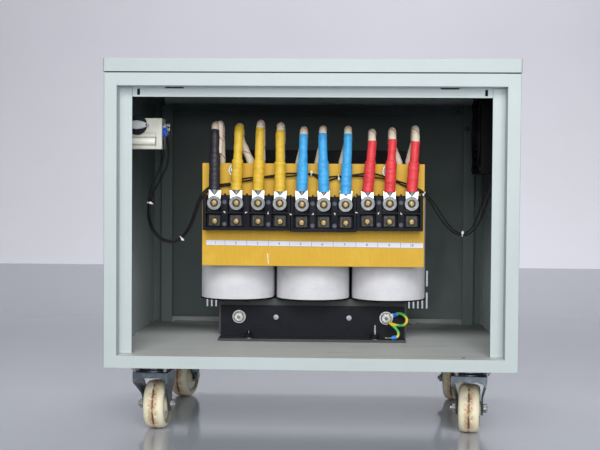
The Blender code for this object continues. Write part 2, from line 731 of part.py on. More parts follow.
def top_clamp(name, face, outwards, black):
    """L-section whose short leg lies over the upper yoke."""
    top = CORE_TOP + GAP + ANGLE_SHEET
    low = top - ANGLE_HEIGHT
    over = -0.034
    profile = [(face, low), (face + outwards * ANGLE_SHEET, low),
               (face + outwards * ANGLE_SHEET, top), (face + outwards * over, top),
               (face + outwards * over, top - ANGLE_SHEET), (face, top - ANGLE_SHEET)]
    left, right = CENTRE_X - ANGLE_LENGTH / 2, CENTRE_X + ANGLE_LENGTH / 2
    clamp = prism(name, profile, "X", left, right, black)
    return drilled(clamp, bolt_places()[2:], face, outwards)


def drilled(piece, places, face, outwards):
    ends = sorted((face - outwards * 0.002, face + outwards * 0.01))
    for place in places:
        cut(piece, rod("hole", "Y", place, BOLT_RADIUS + 0.0004, ends[0], ends[1]))
    return piece


def core_bolt(name, place, front, zinc):
    """Bolt with a washer and head in front of front, and a washer and nut at the rear."""
    rear = STACK_REAR + ANGLE_SHEET + 2 * GAP
    bolt = rod(name, "Y", place, BOLT_RADIUS, front - 0.009, rear + 0.013, 12, zinc)
    fused(bolt, rod("washer", "Y", place, 0.0112, front - 0.002, front, 16),
          rod("head", "Y", place, 0.0088, front - 0.008, front - 0.001, 6),
          rod("rear_washer", "Y", place, 0.0112, rear, rear + 0.002, 16),
          rod("nut", "Y", place, 0.0088, rear + 0.001, rear + 0.009, 6))
    return bolt


def transformer(iron, wrap, black, zinc):
    laminated_core(iron)
    for number, name in enumerate(("coil_left", "coil_middle", "coil_right")):
        coil(name, CENTRE_X + (number - 1) * LIMB_PITCH, wrap)
    front_face, rear_face = STACK_FRONT - GAP, STACK_REAR + GAP
    base_angle("front_base_angle", front_face, -1, black)
    base_angle("rear_base_angle", rear_face, 1, black)
    top_clamp("front_top_clamp", front_face, -1, black)
    top_clamp("rear_top_clamp", rear_face, 1, black)
    clamp_front = front_face - ANGLE_SHEET - GAP
    board_front = BOARD_FRONT - GAP
    names = ("bottom_left", "bottom_right", "top_left", "top_right")
    for name, place in zip(names, bolt_places()):
        front = clamp_front if name.startswith("bottom") else board_front
        core_bolt(f"core_bolt_{name}", place, front, zinc)


# ------------------------------------------------------------------ terminals and leads

def terminal_x(number):
    return FIRST_TERMINAL + number * TERMINAL_PITCH


def terminal_board(laminate, zinc):
    back = BOARD_FRONT + BOARD_THICKNESS
    board = box("terminal_board", (-BOARD_HALF_WIDTH, BOARD_FRONT, BOARD_BOTTOM),
                (BOARD_HALF_WIDTH, back, BOARD_TOP), laminate)
    clamp_front = STACK_FRONT - GAP - ANGLE_SHEET - GAP
    for side, place in zip(("left", "right"), bolt_places()[2:]):
        cut(board, rod("hole", "Y", place, BOLT_RADIUS + 0.0004, BOARD_FRONT - 0.01, back + 0.01))
        spacer = rod(f"board_standoff_{side}", "Y", place, 0.0080, back + GAP, clamp_front, 16, zinc)
        cut(spacer, rod("bore", "Y", place, BOLT_RADIUS + 0.0004, back - 0.01, clamp_front + 0.01))


def terminal_block(name, first, count, bottom, moulding):
    """Barrier block: an open pocket for each lug, and a closed pocket below it."""
    left = terminal_x(first) - TERMINAL_PITCH / 2 + GAP / 2
    right = terminal_x(first + count - 1) + TERMINAL_PITCH / 2 - GAP / 2
    top = bottom + BLOCK_HEIGHT
    middle = bottom + BLOCK_HEIGHT / 2
    wall, floor_wall = 0.0030, 0.0050
    block = box(name, (left, BLOCK_FRONT, bottom), (right, BOARD_FRONT - GAP, top), moulding)
    pockets = []
    for number in range(first, first + count):
        x = terminal_x(number)
        for low, high in ((middle + wall / 2, top + 0.01), (bottom + floor_wall, middle - wall / 2)):
            pockets.append(((x - POCKET_WIDTH / 2, BLOCK_FRONT - 0.01, low),
                            (x + POCKET_WIDTH / 2, POCKET_FLOOR, high)))
    return cut(block, boxes("pockets", pockets))


def coil_front_at(x):
    """Y of the nearest coil's front surface at x."""
    centre = min((CENTRE_X + k * LIMB_PITCH for k in (-1, 0, 1)), key=lambda c: abs(c - x))
    offset = max(0.0, abs(x - centre) - SLEEVE_RADIUS)
    return COIL_FRONT + COIL_RADIUS - math.sqrt(COIL_RADIUS ** 2 - offset ** 2)


def lead_ring(centre, along, width, depth, sides=8):
    """One cross-section: an ellipse-like ring square to along, width measured over X."""
    along = along.normalized()
    deep = Vector((1, 0, 0)).cross(along).normalized()
    wide = along.cross(deep)
    ring = []
    for i in range(sides):
        angle = math.tau * (i + 0.5) / sides
        ring.append(centre + wide * (width / 2 * math.cos(angle)) + deep * (depth / 2 * math.sin(angle)))
    return ring


def lead(name, terminal, top_x, top, rear_x, material):
    """Hairpin lead: flat lug, shrink sleeve up, a turn over the board, and down to the coil.

    top_x is X at the turn, top its height, and rear_x the X of the leg behind the board.
    """
    x = terminal_x(terminal)
    to_corner = 1 / math.cos(math.pi / 8)
    turn = (LEAD_REAR - LEAD_FRONT) / 2
    bend = top - turn - SLEEVE_RADIUS
    lug_y = POCKET_FLOOR - GAP - 0.0013
    up = Vector((0, 0, 1))

    def leaning(z):
        share = (z - 0.362) / (bend - 0.362)
        return x + (top_x - x) * max(0.0, share)

    wide, narrow, sleeve = (2 * r * to_corner
                            for r in (WIDE_SHRINK_RADIUS, NARROW_SHRINK_RADIUS, SLEEVE_RADIUS))
    sections = [(x, lug_y, 0.3300, 0.0195, 0.0026), (x, lug_y, 0.3515, 0.0195, 0.0026),
                (x, LEAD_FRONT, 0.3590, 0.0160, 0.0120),
                (leaning(0.366), LEAD_FRONT, 0.3660, wide, wide),
                (leaning(0.400), LEAD_FRONT, 0.4000, wide, wide),
                (leaning(0.406), LEAD_FRONT, 0.4060, narrow, narrow),
                (top_x, LEAD_FRONT, bend, sleeve, sleeve)]
    rings = [lead_ring(Vector((a, b, c)), up, w, d) for a, b, c, w, d in sections]
    for step in range(1, 5):
        angle = math.pi * step / 4
        centre = Vector((top_x, LEAD_FRONT + turn * (1 - math.cos(angle)),
                         bend + turn * math.sin(angle)))
        along = Vector((0, math.sin(angle), math.cos(angle)))
        rings.append(lead_ring(centre, along, sleeve, sleeve))
    down = Vector((rear_x - top_x, 0, BOARD_TOP - bend))
    rings.append(lead_ring(Vector((rear_x, LEAD_REAR, BOARD_TOP + 0.003)), down, sleeve, sleeve))
    elbow, low = 0.009, 0.331
    for share in (0.0, 0.5, 1.0):
        angle = math.pi / 2 * share
        centre = Vector((rear_x, LEAD_REAR + elbow * (1 - math.cos(angle)),
                         low - elbow * math.sin(angle)))
        rings.append(lead_ring(centre, Vector((0, math.sin(angle), -math.cos(angle))), sleeve, sleeve))
    tail = coil_front_at(rear_x) - 0.0006
    if tail > LEAD_REAR + elbow + 0.001:
        rings.append(lead_ring(Vector((rear_x, tail, low - elbow)), Vector((0, 1, 0)), sleeve, sleeve))
    return lofted(name, rings, material)


def leads(black, yellow, blue, red):
    """Ten hairpins: (name, colour, X at the turn, top of the turn, X of the rear leg)."""
    rows = (("lead_n", black, -0.1517, 0.4671, -0.1567),
            ("lead_u1", yellow, -0.1149, 0.4642, -0.0989),
            ("lead_u2", yellow, -0.0821, 0.4698, -0.0821),
            ("lead_u3", yellow, -0.0508, 0.4661, -0.0508),
            ("lead_v1", blue, -0.0148, 0.4600, -0.0188),
            ("lead_v2", blue, 0.0148, 0.4618, 0.0108),
            ("lead_v3", blue, 0.0537, 0.4612, 0.0497),
            ("lead_w1", red, 0.0910, 0.4567, 0.0910),
            ("lead_w2", red, 0.1220, 0.4592, 0.1335),
            ("lead_w3", red, 0.1577, 0.4617, 0.1497))
    for terminal, (name, colour, top_x, top, rear_x) in enumerate(rows):
        lead(name, terminal, top_x, top, rear_x, colour)


# ------------------------------------------------------------------ wires

HARNESS = [(-0.2275, -0.112, 0.4425), (-0.2275, -0.112, 0.432), (-0.229, -0.111, 0.418),
           (-0.235, -0.109, 0.397), (-0.247, -0.108, 0.368), (-0.2525, -0.107, 0.349),
           (-0.2545, -0.106, 0.321), (-0.250, -0.104, 0.301), (-0.240, -0.103, 0.287),
           (-0.228, -0.102, 0.280), (-0.214, -0.100, 0.279), (-0.202, -0.098, 0.287),
           (-0.191, -0.097, 0.303), (-0.183, -0.096, 0.325), (-0.176, -0.094, 0.345),
           (-0.164, -0.0915, 0.3605), (-0.147, -0.091, 0.366), (-0.128, -0.091, 0.369),
           (-0.109, -0.091, 0.375), (-0.083, -0.091, 0.379), (-0.058, -0.091, 0.382),
           (-0.031, -0.091, 0.384), (-0.003, -0.091, 0.385), (0.008, -0.091, 0.381),
           (0.019, -0.091, 0.3765), (0.029, -0.091, 0.379), (0.039, -0.091, 0.381),
           (0.056, -0.091, 0.383), (0.073, -0.091, 0.384), (0.092, -0.091, 0.384),
           (0.123, -0.091, 0.377), (0.149, -0.091, 0.367), (0.170, -0.0915, 0.358),
           (0.184, -0.091, 0.343), (0.196, -0.090, 0.325), (0.208, -0.089, 0.308),
           (0.222, -0.087, 0.296), (0.237, -0.086, 0.293), (0.249, -0.084, 0.302),
           (0.257, -0.083, 0.315), (0.264, -0.082, 0.334), (0.272, -0.080, 0.355),
           (0.277, -0.079, 0.372), (0.2785, -0.078, 0.3868)]
HARNESS_SPLITS = (-0.150, 0.150)        # X where one stretch of wire ends and the next begins
EARTH_WIRE = [(0.1320, -0.0130, 0.1580), (0.1385, -0.0180, 0.1612), (0.1455, -0.0235, 0.1600),
              (0.1505, -0.0280, 0.1550), (0.1505, -0.0300, 0.1490), (0.1460, -0.0285, 0.1440),
              (0.1385, -0.0245, 0.1425), (0.1310, -0.0225, 0.1437), (0.1252, -0.0245, 0.1462),
              (0.1225, -0.0300, 0.1480), (0.1235, -0.0358, 0.1475), (0.1280, -0.0400, 0.1440),
              (0.1335, -0.0425, 0.1390), (0.1370, -0.0440, 0.1335), (0.1365, -0.0455, 0.1285),
              (0.1325, -0.0465, 0.1256), (0.1275, -0.0470, 0.1252)]


def wires(black_pvc, striped_pvc):
    """The fan's wiring in three stretches that meet end to end, and the earth wire."""
    route = smooth_route(HARNESS, 0.0095)
    first, second = (min(range(len(route)), key=lambda i: abs(route[i].x - x))
                     for x in HARNESS_SPLITS)
    stretches = (("harness_left_drop", route[:first + 1], 0.0, GAP),
                 ("harness_board_run", route[first:second + 1], GAP, GAP),
                 ("harness_right_drop", route[second:], GAP, 0.0))
    for name, stretch, start, end in stretches:
        tube(name, trimmed(stretch, start, end), HARNESS_RADIUS, black_pvc)
    tube("earth_wire", smooth_route(EARTH_WIRE, 0.0045), EARTH_RADIUS, striped_pvc)


# ------------------------------------------------------------------ assembly

def lift_onto_casters():
    for piece in bpy.data.objects:
        if not piece.name.startswith("caster_"):
            piece.location.z += CASTER_HEIGHT - BODY_BOTTOM


def main():
    clear_scene()
    paint = finish("grey_green_paint", (0.63, 0.70, 0.70), 0.42, 0.0)
    zinc = finish("zinc_plate", (0.55, 0.57, 0.60), 0.35, 1.0)
    nylon = finish("ivory_nylon", (0.74, 0.68, 0.50), 0.45, 0.0)
    black_plastic = finish("black_plastic", (0.012, 0.014, 0.022), 0.45, 0.0)
    grey_plastic = finish("light_grey_plastic", (0.55, 0.57, 0.56), 0.50, 0.0)
    black_steel = finish("black_steel", (0.016, 0.016, 0.020), 0.50, 0.2)
    iron = finish("core_iron", (0.08, 0.08, 0.085), 0.55, 0.6)
    wrap = finish("white_coil_wrap", (0.72, 0.72, 0.76), 0.75, 0.0)
    laminate = finish("ochre_laminate", (0.75, 0.46, 0.03), 0.45, 0.0)
    black_sleeve = finish("black_shrink_sleeve", (0.045, 0.043, 0.050), 0.50, 0.0)
    yellow_sleeve = finish("yellow_shrink_sleeve", (0.87, 0.58, 0.05), 0.50, 0.0)
    blue_sleeve = finish("blue_shrink_sleeve", (0.09, 0.50, 0.95), 0.50, 0.0)
    red_sleeve = finish("red_shrink_sleeve", (0.93, 0.08, 0.08), 0.50, 0.0)
    black_pvc = finish("black_wire", (0.01, 0.01, 0.012), 0.45, 0.0)
    striped_pvc = finish("yellow_green_wire", (0.45, 0.75, 0.08), 0.45, 0.0)
    cabinet(paint)
    casters(zinc, nylon)
    fan_housing(black_plastic)
    fan_rotor(black_plastic)
    fan_guard(zinc)
    thermostat(grey_plastic, black_plastic)
    transformer(iron, wrap, black_steel, zinc)
    terminal_board(laminate, zinc)
    terminal_block("terminal_block_left", 0, 4, 0.2977, black_plastic)
    terminal_block("terminal_block_middle", 4, 3, 0.2962, black_plastic)
    terminal_block("terminal_block_right", 7, 3, 0.2985, black_plastic)
    leads(black_sleeve, yellow_sleeve, blue_sleeve, red_sleeve)
    wires(black_pvc, striped_pvc)
    lift_onto_casters()


main()
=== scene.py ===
"""Looks of the wheeled three-phase autotransformer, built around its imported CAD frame.

Metres, +Z up, +X to the right of someone facing the open front, which looks to -Y.
"""

import json
import math

import bmesh
import bpy
from mathutils import Matrix, Vector, noise

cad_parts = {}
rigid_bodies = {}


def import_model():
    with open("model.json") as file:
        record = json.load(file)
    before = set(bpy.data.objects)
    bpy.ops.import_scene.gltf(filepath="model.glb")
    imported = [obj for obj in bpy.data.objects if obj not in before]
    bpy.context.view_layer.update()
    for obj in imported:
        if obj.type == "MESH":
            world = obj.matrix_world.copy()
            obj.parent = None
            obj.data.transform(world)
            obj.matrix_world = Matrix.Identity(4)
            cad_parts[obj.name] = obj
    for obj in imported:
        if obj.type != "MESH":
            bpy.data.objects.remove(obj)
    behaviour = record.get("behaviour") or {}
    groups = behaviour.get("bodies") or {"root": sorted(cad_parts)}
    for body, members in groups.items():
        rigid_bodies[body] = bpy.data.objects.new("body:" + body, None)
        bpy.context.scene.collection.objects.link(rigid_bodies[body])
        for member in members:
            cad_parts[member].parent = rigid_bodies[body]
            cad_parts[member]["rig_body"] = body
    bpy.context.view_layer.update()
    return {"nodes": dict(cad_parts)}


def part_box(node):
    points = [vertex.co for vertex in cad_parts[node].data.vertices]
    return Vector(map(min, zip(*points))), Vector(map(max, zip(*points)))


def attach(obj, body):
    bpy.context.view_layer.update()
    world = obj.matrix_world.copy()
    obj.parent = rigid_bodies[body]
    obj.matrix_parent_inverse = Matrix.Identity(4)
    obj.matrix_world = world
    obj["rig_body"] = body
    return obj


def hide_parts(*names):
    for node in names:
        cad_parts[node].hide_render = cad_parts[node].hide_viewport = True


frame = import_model()

# ---- Places that the CAD frame fixes
WALL_X = 0.300
WALL_INSIDE_X = 0.2986
FLANGE_BACK = -0.2025                  # behind the front flange
REAR_STILE_Y = 0.1990
REAR_FACE = 0.228
FLOOR_TOP = 0.128
TERMINALS = 10
TERMINAL_PITCH = 0.03386
FIRST_TERMINAL = -0.1521
POCKET_FLOOR = -0.1042
BLOCK_FRONT = -0.118
BOARD_FACE = -0.085
BLOCK_BOTTOMS = (0.3077,) * 4 + (0.3062,) * 3 + (0.3085,) * 3
BLOCK_HEIGHT = 0.054
BLOCK_SEAMS = (4, 7)                   # barriers where one terminal block meets the next
STRIP_SLOPE = 0.0059                   # fall of the label strip for each metre to the right
LEAD_FRONT = -0.107
LEAD_REAR = -0.0685
LEAD_RADIUS = 0.0063
SHRINK_RADIUS, SHRINK_SWELL = 0.0068, 0.0017        # the sleeve is wider over the lug's barrel
TRACER_PITCH = 0.034
SPLAY_Z, LEVEL_Z, ELBOW_Z = 0.372, 0.4145, 0.341    # a lead leans, hangs straight, turns in
ELBOW = 0.009
CENTRE_X = -0.0015
BOLT_X = (-0.1215, 0.1185)
BOLT_LOW_Z = 0.1625
BOLT_HIGH_Z = 0.4005
CLAMP_REAR = 0.1009
ANGLE_FOOT_TOP = 0.1330
FAN_CENTRE = (-0.023, 0.4575)          # Y and Z
DIAL_CENTRE = (-0.2681, -0.130, 0.4680)
CASTER_CODES = ("fl", "fr", "rl", "rr")
CASTER_REST = {"fl": -4.0, "fr": -8.0, "rl": -14.0, "rr": -16.0}
CASTER_X, CASTER_Y, CASTER_TRAIL, WHEEL_RADIUS = 0.240, 0.140, 0.026, 0.0375
RACE_RADIUS, RACE_Z, BALL_RADIUS = 0.0205, 0.09725, 0.00115
STEPS = (-1, -0.5, 0, 0.5, 1)          # along a short run, from end to end
FAN_SCREW = 0.0525                     # from the fan's centre, in Y and in Z


def caster_foot(code):
    """Where a caster's swivel axis meets the floor."""
    return Vector((CASTER_X if code[1] == "r" else -CASTER_X,
                   CASTER_Y if code[0] == "r" else -CASTER_Y, 0.0))


def caster_turn(code):
    return Matrix.Rotation(math.radians(CASTER_REST[code]), 4, "Z")


def link(thing):
    bpy.context.scene.collection.objects.link(thing)
    return thing


def arc(steps, turn=math.pi):
    """Cosine and sine at both ends of a turn and at the steps between."""
    return [(math.cos(turn * i / steps), math.sin(turn * i / steps)) for i in range(steps + 1)]


def circle(sides):
    return arc(sides, math.tau)[:-1]


CORNERS = [(a, b) for a in (-1, 1) for b in (-1, 1)]


# ------------------------------------------------------------------ camera, light and floor

def linear(colour):
    """An sRGB colour of 0 to 255 as linear numbers."""
    shares = [c / 255 for c in colour]
    return tuple(s / 12.92 if s <= 0.04045 else ((s + 0.055) / 1.055) ** 2.4 for s in shares)


def make_camera():
    yaw, pitch, roll = 0.03646, 0.03119, 0.00702
    forward = Vector((-math.sin(yaw) * math.cos(pitch), math.cos(yaw) * math.cos(pitch),
                      -math.sin(pitch)))
    level = Vector((math.cos(yaw), math.sin(yaw), 0.0))
    upward = level.cross(forward)
    right = level * math.cos(roll) + upward * math.sin(roll)
    up = upward * math.cos(roll) - level * math.sin(roll)
    data = bpy.data.cameras.new("camera")
    data.lens, data.sensor_width = 70.2, 36.0
    data.shift_x, data.shift_y = -0.0011, -0.0032
    camera = bpy.data.objects.new("camera", data)
    camera.matrix_world = Matrix.Translation((0.0476, -1.9116, 0.3756)) @ Matrix(
        (right, up, -forward)).transposed().to_4x4()
    link(camera)
    bpy.context.scene.camera = camera


def softbox(name, place, aim, width, height, watts, colour=(255, 255, 255)):
    data = bpy.data.lights.new(name, "AREA")
    data.shape, data.size, data.size_y, data.energy = "RECTANGLE", width, height, watts
    data.color = linear(colour)
    light = bpy.data.objects.new(name, data)
    light.location = place
    light.rotation_mode = "QUATERNION"
    light.rotation_quaternion = (Vector(aim) - Vector(place)).to_track_quat("-Z", "Y")
    link(light)


def make_light():
    bpy.context.scene.view_settings.view_transform = "Standard"
    world = bpy.data.worlds.new("studio")
    world.use_nodes = True
    sky = world.node_tree.nodes["Background"]
    sky.inputs["Color"].default_value = (*linear((226, 229, 238)), 1.0)
    sky.inputs["Strength"].default_value = 0.10
    bpy.context.scene.world = world
    softbox("key", (-0.1, -3.7, 2.3), (0.0, 0.0, 0.25), 2.6, 1.4, 95)
    softbox("front", (0.5, -3.6, 0.9), (0.0, 0.0, 0.22), 2.4, 0.9, 54)
    softbox("overhead", (0.0, 1.6, 3.4), (0.0, 3.2, 0.0), 4.0, 1.6, 95)
    softbox("rear", (1.2, 3.9, 3.6), (0.0, 0.0, 0.3), 2.4, 1.6, 44)


# ------------------------------------------------------------------ materials

class Look:
    """A Principled material. Its colour, roughness and bump grow from object coordinates."""

    def __init__(self, name, colour, roughness, metallic=0.0, **constants):
        self.material = bpy.data.materials.new(name)
        self.material.use_nodes = True
        self.tree = self.material.node_tree
        self.shader = self.tree.nodes["Principled BSDF"]
        self.colour = (*linear(colour), 1.0)
        self.roughness = roughness
        self.put(self.shader.inputs["Base Color"], self.colour)
        self.put(self.shader.inputs["Roughness"], roughness)
        self.put(self.shader.inputs["Metallic"], metallic)
        for key, value in constants.items():
            self.put(self.shader.inputs[key.replace("_", " ")], value)
        self.place = self.add("TexCoord").outputs["Object"]
        split = self.add("SeparateXYZ", Vector=self.place)
        self.x, self.y, self.z = split.outputs

    def put(self, socket, value):
        if isinstance(value, bpy.types.NodeSocket):
            self.tree.links.new(value, socket)
        else:
            socket.default_value = value

    def add(self, kind, settings=(), **sockets):
        node = self.tree.nodes.new("ShaderNode" + kind)
        for key, value in settings:
            setattr(node, key, value)
        for key, value in sockets.items():
            self.put(node.inputs[key.replace("_", " ")], value)
        return node

    def grain(self, scale, detail=3.0, stretch=(1, 1, 1)):
        """Noise from 0 to 1, with features about 1/scale metres across."""
        place = self.add("Mapping", Vector=self.place, Scale=stretch).outputs[0]
        return self.add("TexNoise", Vector=place, Scale=scale, Detail=detail,
                        Roughness=0.6).outputs[0]

    def sums(self, operation, a, b=0.0):
        node = self.add("Math", [("operation", operation)])
        self.put(node.inputs[0], a)
        self.put(node.inputs[1], b)
        return node.outputs[0]

    def between(self, value, low, high):
        """0 at low and 1 at high, smoothly; low may be the larger."""
        return self.add("MapRange", [("interpolation_type", "SMOOTHSTEP")], Value=value,
                        From_Min=low, From_Max=high).outputs[0]

    def within(self, value, middle, half, soft):
        """1 where value is within half of middle."""
        away = self.sums("ABSOLUTE", self.sums("SUBTRACT", value, middle))
        return self.between(away, half + soft, half)

    def times(self, *masks):
        product = masks[0]
        for mask in masks[1:]:
            product = self.sums("MULTIPLY", product, mask)
        return product

    def tint(self, mask, colour, share=1.0):
        """The colour goes this share of the way to another one where mask is 1."""
        mix = self.add("Mix", [("data_type", "RGBA")])
        self.put(mix.inputs[0], self.times(mask, share))
        self.put(mix.inputs[6], self.colour)
        self.put(mix.inputs[7], (*linear(colour), 1.0))
        self.colour = mix.outputs[2]
        self.put(self.shader.inputs["Base Color"], self.colour)
        return self

    def patches(self, scale, low, high, colour, share=1.0, detail=3.0, stretch=(1, 1, 1)):
        """Another colour in patches, from none where the noise is at low to full at high."""
        mask = self.between(self.grain(scale, detail, stretch), low, high)
        return self.tint(mask, colour, share)

    def rough(self, mask, value):
        mix = self.add("Mix")
        self.put(mix.inputs[0], mask)
        self.put(mix.inputs[2], self.roughness)
        self.put(mix.inputs[3], value)
        self.roughness = mix.outputs[0]
        self.put(self.shader.inputs["Roughness"], self.roughness)
        return self

    def bump(self, height, distance, strength=1.0):
        """Relief of about this distance in metres."""
        node = self.add("Bump", Height=height, Distance=distance, Strength=strength)
        before = self.shader.inputs["Normal"].links
        if before:
            self.put(node.inputs["Normal"], before[0].from_socket)
        self.put(self.shader.inputs["Normal"], node.outputs[0])
        return self


def painted(name, colour, shade, dusty=False, painted_shade=None):
    """Powder coat with a fine orange peel, faint handling marks and a little dust.

    The last argument, (axis, low, high, colour), turns the coat to that colour from low to high: a
    painted shade along that axis.
    """
    look = Look(name, colour, 0.40, Specular_IOR_Level=0.45)
    # painted shade: the coat darkens along one axis where less light reaches it
    if painted_shade:
        axis, low, high, deep = painted_shade
        look.tint(look.between(getattr(look, axis), low, high), deep, 0.95)
    look.patches(5.0, 0.35, 0.75, shade, 0.35)
    look.patches(260.0, 0.72, 0.80, (112, 116, 112), 0.35, 2.0)
    look.rough(look.grain(38.0), 0.56)
    look.bump(look.grain(1300.0, 1.0), 0.00012, 0.35)
    if dusty:
        smear = look.times(look.between(look.grain(14.0, 4.0, (0.4, 2.0, 1)), 0.52, 0.72), 0.30)
        look.tint(smear, (166, 172, 174))
        look.patches(95.0, 0.70, 0.76, (92, 90, 84), 0.6)
    return look.material


def zinc(name, colour, grime=0.35):
    """Plated steel, clouded and a little grimy; the cloud is a lighter shade of the colour."""
    look = Look(name, colour, 0.32, 1.0)
    cloud = [min(250, c * 1.22 + 8) for c in colour]
    look.patches(120.0, 0.40, 0.70, cloud, 0.6)
    look.patches(46.0, 0.52, 0.74, [c * 0.55 for c in colour], grime, 4.0)
    look.rough(look.grain(160.0), 0.52)
    look.bump(look.grain(900.0, 2.0), 0.00010, 0.4)
    return look.material


def plastic(name, colour, roughness, shade, wear=None, shine=0.5):
    """Moulded plastic with a fine spark-eroded texture."""
    look = Look(name, colour, roughness, Specular_IOR_Level=shine)
    look.patches(60.0, 0.40, 0.75, shade, 0.5)
    if wear:
        look.patches(210.0, 0.66, 0.72, wear, 0.5, 4.0)
    look.rough(look.grain(140.0), min(1.0, roughness + 0.16))
    look.bump(look.grain(1500.0, 2.0), 0.00008, 0.5)
    return look.material


def wheel_look():
    """Ivory nylon with a dirty mould seam and rust speckle beside it; painted shade darkens the
    hubs and a ring groove in each side.
    """
    look = Look("wheel_nylon", (250, 243, 214), 0.30)
    away = look.sums("ABSOLUTE", look.x)
    square = look.sums("ADD", look.times(look.y, look.y),
                       look.times(look.z, look.z))
    radius = look.sums("SQRT", square)
    tread = look.between(radius, 0.0355, 0.0368)
    look.tint(look.grain(45.0, 4.0), (232, 222, 188), 0.4)
    speckle = look.between(look.grain(420.0, 5.0), 0.47, 0.60)
    stain = look.between(look.grain(85.0, 3.0), 0.32, 0.56)
    look.tint(look.times(look.between(away, 0.0120, 0.0020), stain), (212, 168, 116), 0.75)
    look.tint(look.times(look.between(away, 0.0095, 0.0005), speckle, stain), (142, 82, 48), 0.9)
    wander = look.sums("ADD", look.x, look.times(look.sums(
        "SUBTRACT", look.grain(130.0), 0.5), 0.0016))
    seam = look.within(wander, 0.0, 0.0007, 0.0016)
    worn = look.between(look.grain(75.0, 2.0), 0.26, 0.58)
    look.tint(look.times(seam, tread, worn), (62, 40, 38), 0.88)
    # painted shade in the ring groove on each side
    groove_shade = look.times(look.within(radius, 0.0270, 0.0016, 0.0025),
                        look.between(away, 0.0105, 0.0125))
    look.tint(groove_shade, (70, 58, 40), 0.75)
    # painted shade on the hub, darker towards the axle
    look.tint(look.between(radius, 0.0135, 0.0105), (150, 138, 108), 0.5)
    look.rough(look.grain(110.0), 0.55)
    look.bump(look.times(seam, -1.0), 0.0003, 0.6)
    look.bump(look.grain(650.0, 3.0), 0.00010, 0.5)
    return look.material


def coil_look():
    """White glass tape: fine speckled weave in level courses, soft lap lines."""
    look = Look("coil_wrap", (226, 226, 231), 0.78, Sheen_Weight=0.10)
    look.patches(24.0, 0.35, 0.72, (206, 208, 214), 0.6, 4.0)
    look.patches(900.0, 0.55, 0.70, (196, 199, 206), 0.5)
    look.patches(330.0, 0.60, 0.75, (206, 208, 214), 0.5, 3.0, (0.2, 0.2, 2.0))
    course = look.sums("FRACT", look.times(look.z, 1 / 0.0235))
    look.bump(look.between(course, 0.0, 0.06), 0.00025, 0.5)
    look.bump(look.grain(1100.0, 3.0), 0.00020, 0.6)
    return look.material


def board_look():
    """Ochre laminate with an upright brushed grain, scratches, and one chalk stroke."""
    look = Look("board_laminate", (226, 180, 30), 0.50)
    look.tint(look.grain(520.0, 3.0, (1, 1, 0.06)), (198, 148, 16), 0.7)
    look.patches(30.0, 0.50, 0.75, (236, 192, 60), 0.4, 4.0)
    scratch = look.between(look.grain(700.0, 2.0, (0.12, 1, 1.6)), 0.68, 0.74)
    look.tint(scratch, (244, 222, 150), 0.55)
    leaning = look.sums("ADD", look.x, look.times(look.z, 0.09))
    chalk = look.times(look.within(leaning, -0.0462, 0.0005, 0.0006),
                       look.within(look.z, 0.2625, 0.0075, 0.0015),
                       look.between(look.grain(900.0), 0.36, 0.5))
    look.tint(chalk, (246, 240, 222), 0.9)
    look.rough(look.grain(300.0), 0.60)
    look.bump(look.grain(800.0, 2.0, (1, 1, 0.08)), 0.00010, 0.5)
    return look.material


def core_look():
    """Edges of stacked laminations, varnished nearly black."""
    look = Look("core_iron", (80, 86, 85), 0.56, 0.2, Specular_IOR_Level=0.2)
    sheet = look.sums("FRACT", look.times(look.y, 1 / 0.0010))
    ridge = look.within(sheet, 0.5, 0.28, 0.12)
    look.tint(look.sums("SUBTRACT", 1.0, ridge), (34, 36, 36), 0.6)
    look.patches(70.0, 0.55, 0.72, (96, 62, 44), 0.4, 4.0)
    look.rough(look.grain(90.0), 0.75)
    look.bump(ridge, 0.0002, 0.7)
    return look.material


def shrink_look(name, colour, shade):
    """Heat-shrink sleeve: satin, printed by the strands under it, creased across."""
    look = Look(name, colour, 0.46, Coat_Weight=0.10, Coat_Roughness=0.35)
    look.patches(90.0, 0.42, 0.75, shade, 0.7, 4.0)
    look.rough(look.grain(200.0), 0.60)
    look.bump(look.grain(130.0, 3.0, (1, 1, 1.8)), 0.0014, 0.45)
    look.bump(look.grain(700.0, 3.0, (1, 1, 0.3)), 0.00025, 0.5)
    return look.material


def sleeving_look():
    """Braided glass-fibre sleeving with a thin red tracer that spirals round it."""
    look = Look("glass_sleeving", (252, 240, 220), 0.62)
    turns = look.add("Attribute", [("attribute_name", "turns")]).outputs["Fac"]
    strand = look.grain(850.0, 2.0)
    look.tint(look.between(strand, 0.42, 0.66), (226, 210, 184), 0.7)
    look.patches(60.0, 0.45, 0.75, (236, 228, 214), 0.6, 4.0)
    spiral = look.sums("FRACT", turns)
    look.tint(look.within(spiral, 0.5, 0.022, 0.014), (206, 70, 66), 0.85)
    braid = look.sums("SINE", look.times(turns, 90.0))
    look.bump(braid, 0.00018, 0.5)
    look.bump(strand, 0.0003, 0.6)
    return look.material


def earth_look():
    """Green and yellow stripes that wind along the wire."""
    look = Look("earth_wire_cover", (66, 190, 92), 0.38)
    turns = look.add("Attribute", [("attribute_name", "turns")]).outputs["Fac"]
    look.tint(look.within(look.sums("FRACT", turns), 0.5, 0.24, 0.03), (242, 208, 48))
    look.tint(look.grain(300.0), (120, 170, 70), 0.15)
    look.rough(look.grain(300.0), 0.5)
    return look.material


def plated_gold():
    """Yellow passivated zinc, iridescent in patches."""
    look = Look("yellow_zinc", (156, 140, 98), 0.34, 0.8)
    look.patches(260.0, 0.42, 0.62, (168, 108, 78), 0.6)
    look.patches(330.0, 0.50, 0.66, (118, 146, 84), 0.6, 3.0, (1.3, 1, 1))
    look.rough(look.grain(500.0), 0.45)
    return look.material


